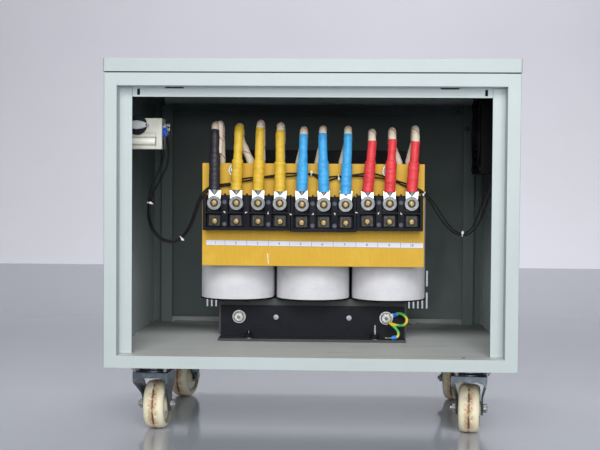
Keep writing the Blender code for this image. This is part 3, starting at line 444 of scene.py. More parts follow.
PAINT = painted("cabinet_paint", (192, 203, 203), (178, 189, 188))
# A far darker copy of the cabinet coat for inside faces: painted shade.
INNER_SHADE_PAINT = painted("inner_painted_shade", (62, 76, 74), (55, 68, 66))
# Inside walls: a lighter copy of the coat low down that darkens towards the top, painted light and
# painted shade.
WALL_LIGHT_AND_SHADE_PAINT = painted("wall_painted_light_and_shade", (206, 216, 218), (196, 206, 208),
                     painted_shade=("z", 0.20, 0.42, (98, 112, 114)))
# A darker copy of the coat for the rear stiles: painted shade.
RIM_SHADE_PAINT = painted("rim_painted_shade", (78, 92, 90), (70, 83, 81))
# Inner floor: a lighter copy of the coat that darkens towards the rear, painted light and painted
# shade, with real dust on it.
FLOOR_LIGHT_SHADE_AND_DUST_PAINT = painted("floor_painted_light_shade_and_dust", (228, 232, 229), (218, 222, 219), dusty=True,
                      painted_shade=("y", 0.0, 0.15, (84, 90, 88)))
ZINC = zinc("zinc_plate", (110, 119, 127))
BRIGHT_ZINC = zinc("bright_zinc", (176, 178, 174), 0.35)
DULL_ZINC = zinc("dull_zinc", (132, 136, 140), 0.5)
TINNED = zinc("tinned_copper", (248, 248, 248), 0.05)
WASHER = zinc("grey_zinc", (112, 114, 114), 0.4)
GOLD = plated_gold()
WHEEL = wheel_look()
FAN_PLASTIC = plastic("fan_plastic", (12, 12, 15), 0.46, (20, 20, 23), shine=0.10)
GUARD_WIRE = plastic("guard_wire_paint", (20, 21, 23), 0.36, (34, 35, 38), shine=0.2)
CONTROL_PLASTIC = plastic("control_plastic", (214, 214, 204), 0.50, (190, 190, 176))
# Colour of the dark lines along the thermostat window's edges: painted shadow.
PAINTED_SHADOW_LINE = plastic("control_painted_shadow_line", (132, 124, 106), 0.6, (112, 104, 88))
ROLLER = plastic("roller_plastic", (246, 246, 236), 0.45, (232, 232, 220))
POINTER_PLASTIC = plastic("pointer_plastic", (196, 202, 203), 0.42, (170, 178, 180))
KNOB_PLASTIC = plastic("knob_plastic", (16, 18, 26), 0.46, (26, 28, 36), shine=0.2)
CORE = core_look()
COIL = coil_look()
# Black card of the coil end flanges; also the black of sheets that stand for painted shade in
# slots and gaps.
BLACK_CARD_AND_SHADE = plastic("end_flange_card_and_painted_shade", (14, 14, 16), 0.60, (26, 26, 26), shine=0.1)
BLACK_STEEL = plastic("black_steel_coat", (26, 27, 34), 0.44, (34, 35, 43), (66, 66, 76), 0.12)
# A lighter copy of the black coat for the angles' feet: painted light, with real wear patches.
LIT_AND_WORN_STEEL = plastic("black_steel_painted_light_and_wear", (52, 52, 57), 0.42, (66, 66, 72), (96, 96, 104))
BOARD = board_look()
MOULDING = plastic("block_moulding", (8, 10, 22), 0.34, (15, 18, 30), (36, 40, 52), 0.14)
PLUG = plastic("plug_moulding", (84, 87, 102), 0.40, (102, 105, 118), shine=0.3)
PLATE = zinc("terminal_plate", (58, 58, 56), 0.3)
BLACK_SHRINK = shrink_look("black_sleeve", (42, 40, 48), (28, 26, 34))
YELLOW_SHRINK = shrink_look("yellow_sleeve", (234, 194, 58), (206, 160, 30))
BLUE_SHRINK = shrink_look("blue_sleeve", (70, 178, 238), (40, 138, 206))
RED_SHRINK = shrink_look("red_sleeve", (236, 66, 72), (198, 40, 52))
SLEEVING = sleeving_look()
BLACK_PVC = plastic("black_wire_pvc", (10, 10, 12), 0.34, (18, 18, 21), shine=0.2)
EARTH = earth_look()
CRIMP_BLUE = plastic("crimp_blue", (38, 132, 236), 0.40, (24, 104, 208))
CRIMP_NAVY = plastic("crimp_navy", (16, 84, 196), 0.44, (10, 56, 150))
NYLON = plastic("tie_nylon", (232, 232, 226), 0.50, (206, 206, 198))
PAPER = plastic("label_paper", (232, 233, 242), 0.70, (222, 223, 234), shine=0.2)
BORDER = plastic("label_border", (150, 152, 168), 0.70, (170, 172, 186), shine=0.2)
INK = plastic("label_ink", (74, 74, 86), 0.70, (92, 92, 104))


# ------------------------------------------------------------------ shapes

class Shape:
    """Vertices and faces gathered into one mesh. mark is a face's place in the looks."""

    def __init__(self):
        self.points, self.faces = [], []

    def add(self, points, faces, place=None, mark=0, turns=None):
        first = len(self.points)
        self.points += [place @ Vector(p) if place else Vector(p) for p in points]
        for number, face in enumerate(faces):
            self.faces.append(([first + i for i in face], mark, turns[number] if turns else None))
        return self

    def lathe(self, profile, place, sides=32, mark=0, closed=False):
        """Turns (radius, height) pairs about local Z. closed joins the last pair to the first."""
        points, rings, faces = [], [], []
        for radius, height in profile:
            if radius < 1e-7:
                rings.append([len(points)] * sides)
                points.append((0, 0, height))
            else:
                rings.append(list(range(len(points), len(points) + sides)))
                points += [(radius * c, radius * s, height) for c, s in circle(sides)]
        pairs = list(zip(rings, rings[1:] + rings[:1])) if closed else list(zip(rings, rings[1:]))
        for low, high in pairs:
            for i in range(sides):
                j = (i + 1) % sides
                face = list(dict.fromkeys((low[i], low[j], high[j], high[i])))
                if len(face) > 2:
                    faces.append(face)
        if not closed:
            for ring in (rings[0], rings[-1]):
                if len(set(ring)) > 1:
                    faces.append(ring)
        return self.add(points, faces, place, mark)

    def prism(self, outline, low, high, place=None, mark=0, inset=0.0):
        """An outline in local X and Y swept along local Z; inset draws the high end in."""
        count = len(outline)
        middle = Vector((sum(p[0] for p in outline), sum(p[1] for p in outline))) / count
        points = [(x, y, low) for x, y in outline]
        for x, y in outline:
            away = Vector((x, y)) - middle
            away *= max(0.0, 1 - inset / max(away.length, 1e-6))
            points.append((middle.x + away.x, middle.y + away.y, high))
        faces = [list(range(count)), list(range(count, 2 * count))]
        faces += [(i, (i + 1) % count, count + (i + 1) % count, count + i) for i in range(count)]
        return self.add(points, faces, place, mark)

    def block(self, low, high, place=None, mark=0):
        outline = [(low[0], low[1]), (high[0], low[1]), (high[0], high[1]), (low[0], high[1])]
        return self.prism(outline, low[2], high[2], place, mark)

    def sweep(self, route, radii, sides=12, mark=0, pitch=None, closed=False, flat=1.0):
        """A tube along the route. radii is one number or one for each point; flat thins it."""
        route = [Vector(p) for p in route]
        count = len(route)
        if not hasattr(radii, "__len__"):
            radii = [radii] * count
        wide = Vector((1, 0, 0))
        points, walked, lengths = [], 0.0, []
        for i, place in enumerate(route):
            before = route[(i - 1) % count] if closed or i else place
            after = route[(i + 1) % count] if closed or i < count - 1 else place
            along = (after - before).normalized()
            wide = wide - along * wide.dot(along)
            if wide.length < 1e-3:
                wide = along.orthogonal()
            wide.normalize()
            deep = along.cross(wide)
            walked += (place - route[i - 1]).length if i else 0.0
            lengths.append(walked)
            points += [place + wide * (radii[i] * c) + deep * (radii[i] * flat * s)
                       for c, s in circle(sides)]
        faces, turns = [], []
        for i in range(count if closed else count - 1):
            j = (i + 1) % count
            for side in range(sides):
                after = (side + 1) % sides
                faces.append((i * sides + side, i * sides + after,
                              j * sides + after, j * sides + side))
                if pitch:
                    low, high = lengths[i] / pitch, lengths[j] / pitch
                    a, b = side / sides, (side + 1) / sides
                    turns.append((a + low, b + low, b + high, a + high))
        if not closed:
            faces += [tuple(range(sides)), tuple(range((count - 1) * sides, count * sides))]
            turns += [(0.0,) * sides] * 2 if pitch else []
        return self.add(points, faces, None, mark, turns or None)

    def mesh(self, name):
        made = bmesh.new()
        layer = made.loops.layers.float.new("turns")
        corners = [made.verts.new(p) for p in self.points]
        for face, mark, turns in self.faces:
            new = made.faces.new([corners[i] for i in face])
            new.material_index = mark
            for loop, value in zip(new.loops, turns or ()):
                loop[layer] = value
        bmesh.ops.recalc_face_normals(made, faces=made.faces)
        mesh = bpy.data.meshes.new(name)
        made.to_mesh(mesh)
        made.free()
        return mesh

    def build(self, name, looks, body="cabinet", slot=None, stands_for=(), bevel=0.0, sharp=40.0):
        return dressed(name, self.mesh(name), looks, body, stands_for, bevel, sharp)


def dressed(name, mesh, looks, body, stands_for=(), bevel=0.0, sharp=40.0, weighted=False):
    """An object of the mesh with its materials, smooth shading and soft edges, on its body."""
    for look in looks:
        mesh.materials.append(look)
    mesh.shade_smooth()
    mesh.set_sharp_from_angle(angle=math.radians(sharp))
    piece = bpy.data.objects.new(name, mesh)
    link(piece)
    if bevel:
        soft = piece.modifiers.new("soft_edges", "BEVEL")
        soft.width, soft.segments, soft.harden_normals = bevel, 2, True
        soft.limit_method = "WEIGHT" if weighted else "ANGLE"
        soft.angle_limit = math.radians(sharp)
    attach(piece, body)
    if stands_for:
        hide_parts(*stands_for)
    return piece


CAD_SHARP = 30.0       # degrees; an edge of the CAD that bends more than this is a real edge


def refined(node, looks, bevel=0.0006, marks=None, weigh=None, reshape=None):
    """A CAD node's own shape with soft edges and smooth curves.

    marks gives a face's look from its middle, weigh an edge's share of the bevel from its
    middle, and reshape a vertex's new place.
    """
    source = frame["nodes"][node]
    made = bmesh.new()
    made.from_mesh(source.data)
    bmesh.ops.remove_doubles(made, verts=made.verts, dist=2e-6)
    bmesh.ops.dissolve_limit(made, angle_limit=math.radians(0.5), verts=made.verts,
                             edges=made.edges)
    if reshape:
        for vertex in made.verts:
            vertex.co = reshape(vertex.co)
    for face in made.faces:
        face.material_index = marks(face.calc_center_median()) if marks else 0
    if weigh:
        layer = made.edges.layers.float.new("bevel_weight_edge")
        for edge in made.edges:
            if len(edge.link_faces) == 2 and edge.calc_face_angle() > math.radians(CAD_SHARP):
                edge[layer] = weigh((edge.verts[0].co + edge.verts[1].co) / 2)
    mesh = bpy.data.meshes.new(node + "_fine")
    made.to_mesh(mesh)
    made.free()
    return dressed(node + "_fine", mesh, looks, source["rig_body"], (node,), bevel,
                   CAD_SHARP, bool(weigh))


def facing(place, direction, roll=0.0):
    """A matrix that takes local Z to a direction and the origin to a place."""
    ways = {"front": Matrix(((1, 0, 0), (0, 0, -1), (0, 1, 0))),
            "rear": Matrix(((-1, 0, 0), (0, 0, 1), (0, 1, 0))),
            "right": Matrix(((0, 0, 1), (1, 0, 0), (0, 1, 0))),
            "left": Matrix(((0, 0, -1), (-1, 0, 0), (0, 1, 0))),
            "up": Matrix.Identity(3),
            "down": Matrix(((1, 0, 0), (0, -1, 0), (0, 0, -1)))}
    return (Matrix.Translation(Vector(place)) @ ways[direction].to_4x4()
            @ Matrix.Rotation(math.radians(roll), 4, "Z"))


def washer(shape, place, outer, inner, thick, mark=0):
    edge = min(0.0003, thick * 0.3)
    shape.lathe([(inner, 0), (outer, 0), (outer, thick - edge), (outer - edge, thick),
                 (inner, thick)], place, 36, mark, closed=True)


def hexagon(shape, place, radius, low, high, mark=0):
    """A nut or bolt head: six sides with a turned chamfer at the outer end."""
    flat = radius * math.cos(math.pi / 6)
    outline = [(radius * c, radius * s) for c, s in circle(6)]
    chamfer = (radius - flat) * 0.6
    shape.prism(outline, low, high - chamfer, place, mark)
    shape.prism(outline, high - chamfer - 0.00002, high - chamfer * 0.35, place, mark,
                inset=radius - flat)
    shape.lathe([(flat, high - chamfer * 0.36), (flat * 0.97, high)], place, 30, mark)


def pan_head(radius, height):
    """A Phillips pan head as (points, faces), its cross cut out of a turned dome."""
    dome = [(radius * 0.96, 0), (radius, height * 0.3), (radius * 0.94, height * 0.62),
            (radius * 0.74, height * 0.87), (radius * 0.4, height * 0.98), (0, height)]
    turned = Shape().lathe(dome, None, 24)
    cross = Shape()
    half, reach = radius * 0.16, radius * 0.66
    outline = [(half, half), (half, reach), (-half, reach), (-half, half), (-reach, half),
               (-reach, -half), (-half, -half), (-half, -reach), (half, -reach), (half, -half),
               (reach, -half), (reach, half)]
    cross.prism(outline, height * 0.35, height * 1.4)
    objects = [link(bpy.data.objects.new("screw_master", shape.mesh("screw_master")))
               for shape in (turned, cross)]
    modifier = objects[0].modifiers.new("cross", "BOOLEAN")
    modifier.operation, modifier.object = "DIFFERENCE", objects[1]
    bpy.context.view_layer.update()
    result = objects[0].evaluated_get(bpy.context.evaluated_depsgraph_get()).to_mesh()
    points = [tuple(v.co) for v in result.vertices]
    faces = [tuple(p.vertices) for p in result.polygons]
    for made in objects:
        bpy.data.objects.remove(made)
    return points, faces


def smooth_route(points, spacing):
    """Points about one spacing apart on a smooth curve through the given ones."""
    knots = [Vector(points[0]) * 2 - Vector(points[1])] + [Vector(p) for p in points]
    knots.append(Vector(points[-1]) * 2 - Vector(points[-2]))
    fine = []
    for i in range(1, len(knots) - 2):
        a, b, c, d = knots[i - 1:i + 3]
        for step in range(24):
            t = step / 24
            fine.append(0.5 * (2 * b + (c - a) * t + (2 * a - 5 * b + 4 * c - d) * t * t
                               + (3 * b - a - 3 * c + d) * t ** 3))
    fine.append(knots[-2])
    length = sum((q - p).length for p, q in zip(fine, fine[1:]))
    count = max(2, round(length / spacing))
    route, walked, target = [fine[0]], 0.0, length / count
    for p, q in zip(fine, fine[1:]):
        step = (q - p).length
        while walked + step >= target and len(route) < count:
            route.append(p.lerp(q, (target - walked) / step))
            target += length / count
        walked += step
    route.append(fine[-1])
    return route


# ------------------------------------------------------------------ cabinet

def sheet_corner(middle):
    """Bent outer corners are rounder than cut edges."""
    outer = abs(abs(middle.x) - WALL_X) < 1e-4 and abs(abs(middle.y) - REAR_FACE) < 1e-4
    return 1.0 if outer else 0.28


def closed_seam(co):
    """Runs a rail's ends into the stiles, as the ground weld does."""
    return Vector((math.copysign(0.2812, co.x), co.y, co.z)) if abs(co.x) > 0.2805 else co


def side_coat(middle):
    """0 outside; 1 on the inside of the wall, a coat with painted light and shade; 2 on the rear
    stile, painted shade, with its outside face too.
    """
    if abs(middle.x) >= WALL_INSIDE_X or middle.y <= FLANGE_BACK:
        return 0
    return 2 if middle.y > REAR_STILE_Y else 1


def cabinet():
    both = [PAINT, INNER_SHADE_PAINT]
    for node in ("left_side_panel", "right_side_panel"):
        refined(node, [PAINT, WALL_LIGHT_AND_SHADE_PAINT, RIM_SHADE_PAINT], 0.0016,
                weigh=sheet_corner, marks=side_coat)
    # Inside, the floor takes the coat with painted light and shade; the front lip keeps the
    # outside coat.
    refined("floor_pan", [PAINT, FLOOR_LIGHT_SHADE_AND_DUST_PAINT], 0.0004,
            marks=lambda m: int(m.z > 0.1262 and abs(m.y) < 0.2262),
            reshape=lambda co: closed_seam(co) if co.y < -0.2264 or co.y > 0.2264 else co)
    refined("front_top_rail", [PAINT], 0.0004, reshape=closed_seam)
    # Inside faces of the rear rail, the back and the lid take the far darker coat: painted shade.
    refined("rear_top_rail", both, 0.0004, reshape=closed_seam,
            marks=lambda m: int(m.y < 0.2040))
    refined("rear_panel", both, 0.0005, marks=lambda m: int(m.y < 0.2269),
            weigh=lambda m: 1.0 if abs(m.x) > 0.27 or m.z > 0.5 or m.z < 0.14 else 0.5)
    refined("lid_cover", both, 0.0014, marks=lambda m: int(m.z < 0.5592
            and abs(m.x) < 0.2995 and abs(m.y) < 0.2275),
            weigh=lambda m: 1.0 if m.z > 0.5590 else 0.25)


def cabinet_fasteners():
    """Screws on the flanges, back, walls and floor, weld lumps, and black strips of painted shade
    where the cover's hook slots are.
    """
    points, faces = pan_head(0.0042, 0.0026)
    small = Shape()
    for side in (-1, 1):
        for x, z in ((0.252, 0.509), (0.2685, 0.481)):
            small.add(points, faces, facing((side * x, 0.2030, z), "front", 20 * side + 900 * z))
    # These rear flange screws take the dark inside coat too: painted shade.
    small.build("rear_flange_screws", [INNER_SHADE_PAINT], slot="cabinet_paint")
    back = Shape()
    flat_points, flat_faces = pan_head(0.0045, 0.0014)
    for side in (-1, 1):
        for z in (0.1415, 0.325, 0.5085):
            back.add(flat_points, flat_faces,
                     facing((side * 0.2735, REAR_FACE, z), "rear", 31 * side + 700 * z))
    back.build("rear_cover_screws", [ZINC], slot="zinc_plate")
    walls = Shape()
    fan_y, fan_z = FAN_CENTRE
    for sy, sz in CORNERS:
        walls.add(flat_points, flat_faces, facing(
            (WALL_X, fan_y + sy * FAN_SCREW, fan_z + sz * FAN_SCREW), "right", 40 * sy + 17 * sz))
    for z in (0.440, 0.470):
        walls.add(flat_points, flat_faces, facing((-WALL_X, -0.1125, z), "left", 1000 * z))
    walls.build("wall_screws", [ZINC], slot="zinc_plate")
    welds = Shape()
    for side in (-1, 1):
        for number, y in enumerate((-0.185, -0.120, -0.045, 0.040, 0.120, 0.180)):
            long = 0.006 + 0.003 * ((number * 7 + side) % 3)
            route = [(side * 0.2972, y + long * t, FLOOR_TOP + 0.0006) for t in STEPS]
            welds.sweep(route, [0.0004, 0.0017, 0.0014, 0.0018, 0.0004], 8)
    welds.build("floor_welds", [FLOOR_LIGHT_SHADE_AND_DUST_PAINT], slot="cabinet_paint")
    lip = Shape()
    lip.add(*pan_head(0.0026, 0.0014), facing((0.2235, -0.214, FLOOR_TOP), "up", 30))
    lip.build("floor_screw", [DULL_ZINC], slot="cabinet_paint")
    # Black strips just under the seat's ceiling where the hook slots are: painted shade standing
    # for the dark of the slots.
    hook_slot_shade = Shape()
    for side in (-1, 1):
        ends = sorted((side * 0.187, side * 0.214))
        hook_slot_shade.block((ends[0], -0.2047, 0.5178), (ends[1], -0.2043, 0.5197))
    hook_slot_shade.build("cover_hook_slot_shade", [BLACK_CARD_AND_SHADE], slot="cabinet_paint")


# ------------------------------------------------------------------ casters

def wheel_shape():
    """Nylon wheel turned about its axle: rounded tread, dished sides, hub bosses."""
    half = [(0.0042, 0.0175), (0.0098, 0.0175), (0.0110, 0.0168), (0.0118, 0.0150),
            (0.0132, 0.0130), (0.0150, 0.0125), (0.0245, 0.0125), (0.0262, 0.0128),
            (0.0275, 0.0143), (0.0286, 0.0158), (0.0300, 0.0160), (0.0318, 0.0157),
            (0.0336, 0.0148), (0.0351, 0.0131), (0.0362, 0.0108), (0.0369, 0.0080),
            (0.0373, 0.0048), (0.0375, 0.0018), (0.0374, 0.0004)]
    profile = half + [(r, -h) for r, h in reversed(half)]
    along_x = Matrix.Rotation(math.radians(90), 4, "Y")
    return Shape().lathe(profile, along_x, 72, closed=True)


def casters():
    for code in CASTER_CODES:
        foot, turn = caster_foot(code), caster_turn(code)
        swivel, roller = "caster_swivel_" + code, "caster_roller_" + code
        refined("caster_plate_" + code, [ZINC], 0.0007)
        refined("caster_fork_" + code, [ZINC], 0.0007)
        refined("caster_axle_" + code, [BRIGHT_ZINC], 0.0005)
        wheel = wheel_shape().build(f"caster_wheel_{code}_fine", [WHEEL], roller, "wheel_nylon",
                                    ("caster_wheel_" + code,))
        wheel.parent = None
        wheel.matrix_world = Matrix.Translation(
            foot + turn @ Vector((0, CASTER_TRAIL, WHEEL_RADIUS))) @ turn
        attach(wheel, roller)
        balls = Shape()
        ball = [(BALL_RADIUS * s, -BALL_RADIUS * c) for c, s in arc(6)]
        ball[0], ball[-1] = (0, ball[0][1]), (0, ball[-1][1])
        for c, s in circle(20):
            place = foot + Vector((RACE_RADIUS * c, RACE_RADIUS * s, RACE_Z))
            balls.lathe(ball, Matrix.Translation(place), 10)
        balls.build(f"caster_balls_{code}", [GOLD], swivel, "zinc_plate")
        nuts = Shape()
        for sx, sy in CORNERS:
            place = foot + Vector((sx * 0.023, sy * 0.0375, 0.1070))
            down = facing(place, "down", 20 * sx + 35 * sy)
            washer(nuts, down, 0.0068, 0.0032, 0.0012)
            hexagon(nuts, down, 0.0058, 0.0012, 0.0058)
            nuts.lathe([(0.0030, 0.0050), (0.0030, 0.0092), (0.0024, 0.0100)], down, 16)
        nuts.build(f"caster_nuts_{code}", [BRIGHT_ZINC], "cabinet", "zinc_plate")


# ------------------------------------------------------------------ fan and its control

def fan():
    refined("fan_housing", [FAN_PLASTIC], 0.0010)
    refined("fan_rotor", [FAN_PLASTIC], 0.0003)
    guard = Shape()
    fan_y, fan_z = FAN_CENTRE
    x, wire = 0.2588, 0.00108
    for radius in (0.0560, 0.0440, 0.0320, 0.0200):
        ring = [(x, fan_y + radius * c, fan_z + radius * s) for c, s in circle(48)]
        guard.sweep(ring, wire, 8, closed=True)
    for degrees in (45, 135):
        a = math.radians(degrees)
        ends = [(x, fan_y + t * math.cos(a), fan_z + t * math.sin(a))
                for t in (-0.0735, -0.06, -0.03, 0, 0.03, 0.06, 0.0735)]
        guard.sweep(ends, wire * 0.98, 8)
    guard.build("fan_guard_fine", [GUARD_WIRE], slot="guard_wire", stands_for=("fan_guard",))
    screws = Shape()
    points, faces = pan_head(0.0046, 0.0022)
    for sy, sz in CORNERS:
        screws.add(points, faces, facing(
            (0.2601, fan_y + sy * FAN_SCREW, fan_z + sz * FAN_SCREW), "left", 25 * sy + 40 * sz))
    screws.build("fan_screws", [GUARD_WIRE], slot="guard_wire")


def thermostat():
    """Housing with a ribbed setting roller in its window, screw terminals and crimped wires."""
    refined("thermostat_body", [CONTROL_PLASTIC], 0.0011)
    roller = facing((-0.2845, -0.1282, 0.44325), "right")
    outer, inner = 0.0056, 0.0051
    rings = [(0.0, 0.0), (0.0052, 0.0), (outer, 0.0004)]
    for low in (0.0100, 0.0210, 0.0320):
        rings += [(outer, low), (inner, low + 0.0003), (inner, low + 0.0011),
                  (outer, low + 0.0014)]
    rings += [(outer, 0.0436), (0.0052, 0.0440), (0.0, 0.0440)]
    Shape().lathe(rings, roller, 24).build("thermostat_roller", [ROLLER], slot="control_plastic")
    extra = Shape()
    for x in (-0.2375, -0.2945):
        extra.block((x, -0.1312, 0.4330), (x + 0.0022, -0.1298, 0.4770))
    extra.block((-0.2945, -0.1310, 0.4315), (-0.2310, -0.1298, 0.4335))
    # The two dark lines are painted shadow along the window's top and right edges. They stand 0.15
    # mm clear of the dial's back, which turns 0.3 mm above the housing.
    extra.block((-0.2940, -0.13015, 0.4555), (-0.2398, -0.1299, 0.4561), mark=1)
    extra.block((-0.2402, -0.13015, 0.4345), (-0.2396, -0.1299, 0.4561), mark=1)
    extra.build("thermostat_trim", [CONTROL_PLASTIC, PAINTED_SHADOW_LINE], slot="control_plastic")
    knob = Shape()
    front = facing(DIAL_CENTRE, "front")
    knob.lathe([(0.0, 0.0003), (0.0150, 0.0003), (0.0152, 0.0010), (0.0152, 0.0034),
                (0.0146, 0.0040), (0.0, 0.0040)], front, 48)
    knob.lathe([(0.0, -0.0080), (0.0029, -0.0080), (0.0029, 0.0010), (0.0, 0.0010)], front, 20)
    knob.build("thermostat_dial", [KNOB_PLASTIC], "thermostat_knob", "knob_plastic",
               ("thermostat_knob",))
    pointer = Shape()
    length, rise = 0.0194, 0.0067
    lens = [(length * c, math.copysign(rise * (1 - c ** 2), s)) for c, s in circle(32)]
    pointer.prism(lens, 0.0038, 0.0082, front)
    pointer.prism(lens, 0.00815, 0.0094, front, inset=0.0016)
    pointer.build("thermostat_pointer", [POINTER_PLASTIC], "thermostat_knob", "knob_plastic",
                  bevel=0.0003)
    dot = Shape().lathe([(0.0, 0.0085), (0.0014, 0.0085), (0.0014, 0.00945), (0.0, 0.00948)],
                        front @ Matrix.Translation((0.0152, 0, 0)), 16)
    dot.build("thermostat_mark", [KNOB_PLASTIC], "thermostat_knob", "knob_plastic")
    tabs = Shape()
    points, faces = pan_head(0.0026, 0.0016)
    for z in (0.4620, 0.4682):
        tabs.block((-0.2285, -0.1185, z - 0.0024), (-0.2200, -0.1065, z + 0.0022))
        tabs.add(points, faces, facing((-0.2240, -0.1185, z), "front", 900 * z))
    tabs.build("thermostat_terminals", [WASHER], slot="zinc_plate", bevel=0.0003)
    crimps = Shape()
    for x in (-0.2306, -0.2258):
        crimps.lathe([(0.0, 0.4512), (0.0020, 0.4512), (0.0023, 0.4522), (0.0023, 0.4576),
                      (0.0019, 0.4582), (0.0019, 0.4596), (0.0023, 0.4604), (0.0021, 0.4650),
                      (0.0, 0.4650)], Matrix.Translation((x, -0.1205, 0)), 16)
    crimps.build("thermostat_crimps", [CRIMP_NAVY], slot="black_wire")


# ------------------------------------------------------------------ transformer

def core_bolt(name, x, z, front):
    """Clamping bolt: flat washer, split lock washer and hexagon head; nut at the rear."""
    bolt = Shape()
    near = facing((x, front, z), "front")
    far = facing((x, CLAMP_REAR, z), "rear")
    grip = CLAMP_REAR - front
    bolt.lathe([(0.0, -0.001), (0.0049, -0.001), (0.0049, grip + 0.0118),
                (0.0042, grip + 0.0126), (0.0, grip + 0.0126)], facing((x, front, z), "rear"), 20)
    washer(bolt, near, 0.0109, 0.0051, 0.0014)
    washer(bolt, near @ Matrix.Translation((0, 0, 0.0018)), 0.0089, 0.0051, 0.0018, 1)
    hexagon(bolt, near, 0.0078, 0.0040, 0.0086)
    bolt.lathe([(0.0, 0.0085), (0.0030, 0.0085), (0.0027, 0.0088), (0.0, 0.0089)], near, 20, 1)
    washer(bolt, far, 0.0109, 0.0051, 0.0018)
    hexagon(bolt, far, 0.0082, 0.0020, 0.0082)
    bolt.build(f"core_bolt_{name}_fine", [BRIGHT_ZINC, WASHER], slot="zinc_plate",
               stands_for=("core_bolt_" + name,), sharp=30)


def transformer():
    refined("laminated_core", [CORE], 0.0008)
    for name in ("coil_left", "coil_middle", "coil_right"):
        low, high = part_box(name)
        refined(name, [COIL, BLACK_CARD_AND_SHADE], 0.0005,
                marks=lambda m, a=low.z, b=high.z: int(m.z < a + 0.0021 or m.z > b - 0.0021))
    # The feet of the base angles take a lighter coat: painted light.
    for node in ("front_base_angle", "rear_base_angle", "front_top_clamp", "rear_top_clamp"):
        refined(node, [BLACK_STEEL, LIT_AND_WORN_STEEL], 0.0009,
                marks=lambda m: int(m.z < ANGLE_FOOT_TOP))
    for row, z, front in (("bottom_", BOLT_LOW_Z, -0.0083), ("top_", BOLT_HIGH_Z, -0.0853)):
        for side, x in zip(("left", "right"), BOLT_X):
            core_bolt(row + side, x, z, front)
    for side in ("left", "right"):
        refined("board_standoff_" + side, [ZINC], 0.0005)
    rivets = Shape()
    for side in (-1, 1):
        rivets.lathe([(0.0, 0.0), (0.0050, 0.0), (0.0050, 0.0012), (0.0042, 0.0022),
                      (0.0, 0.0025)],
                     facing((CENTRE_X + side * 0.0596, -0.0081, 0.1622), "front"), 28)
    rivets.build("base_angle_studs", [DULL_ZINC], slot="black_steel")
    feet = Shape()
    for x, y, top in ((-0.1025, -0.046, 0.1455), (0.0995, -0.046, 0.1560),
                      (-0.1025, 0.1355, 0.1450), (0.0995, 0.1355, 0.1450)):
        place = facing((x, y, 0.1324), "up", 17 + 900 * x)
        washer(feet, place, 0.0086, 0.0032, 0.0014, 1)
        hexagon(feet, place, 0.0074, 0.0015, 0.0080, 2)
        feet.lathe([(0.0, -0.004), (0.0030, -0.004), (0.0030, top - 0.1332),
                    (0.0024, top - 0.1324), (0.0, top - 0.1324)], place, 16,
                   1 if x > 0 and y < 0 else 0)
    feet.build("foot_bolts", [PLATE, WASHER, BLACK_STEEL], slot="black_steel")
    ties = Shape()
    for number in (-1, 0, 1):
        x = CENTRE_X + number * 0.1235
        for z, up in ((0.1930, -1), (0.3700, 1)):
            for dx in (-0.020, 0.020):
                route = [(x + dx + 0.004 * t, -0.0553 - 0.0006 * (1 - t * t), z + up * 0.0006)
                         for t in STEPS]
                ties.sweep(route, 0.0008, 6, flat=0.6)
    # Black sheets in the two gaps between the coils, at their rear: painted shade standing for the
    # dark of the gaps.
    for x in (-0.0635, 0.0605):
        ties.block((x - 0.0030, 0.0700, 0.1960), (x + 0.0030, 0.0712, 0.3720))
    ties.build("coil_flange_tabs_and_gap_shade", [BLACK_CARD_AND_SHADE], slot="coil_wrap")


# ------------------------------------------------------------------ terminals

def pole_x(number):
    return FIRST_TERMINAL + number * TERMINAL_PITCH


def rise(number):
    """How far a pole's block stands above the left one."""
    return BLOCK_BOTTOMS[number] - BLOCK_BOTTOMS[0]


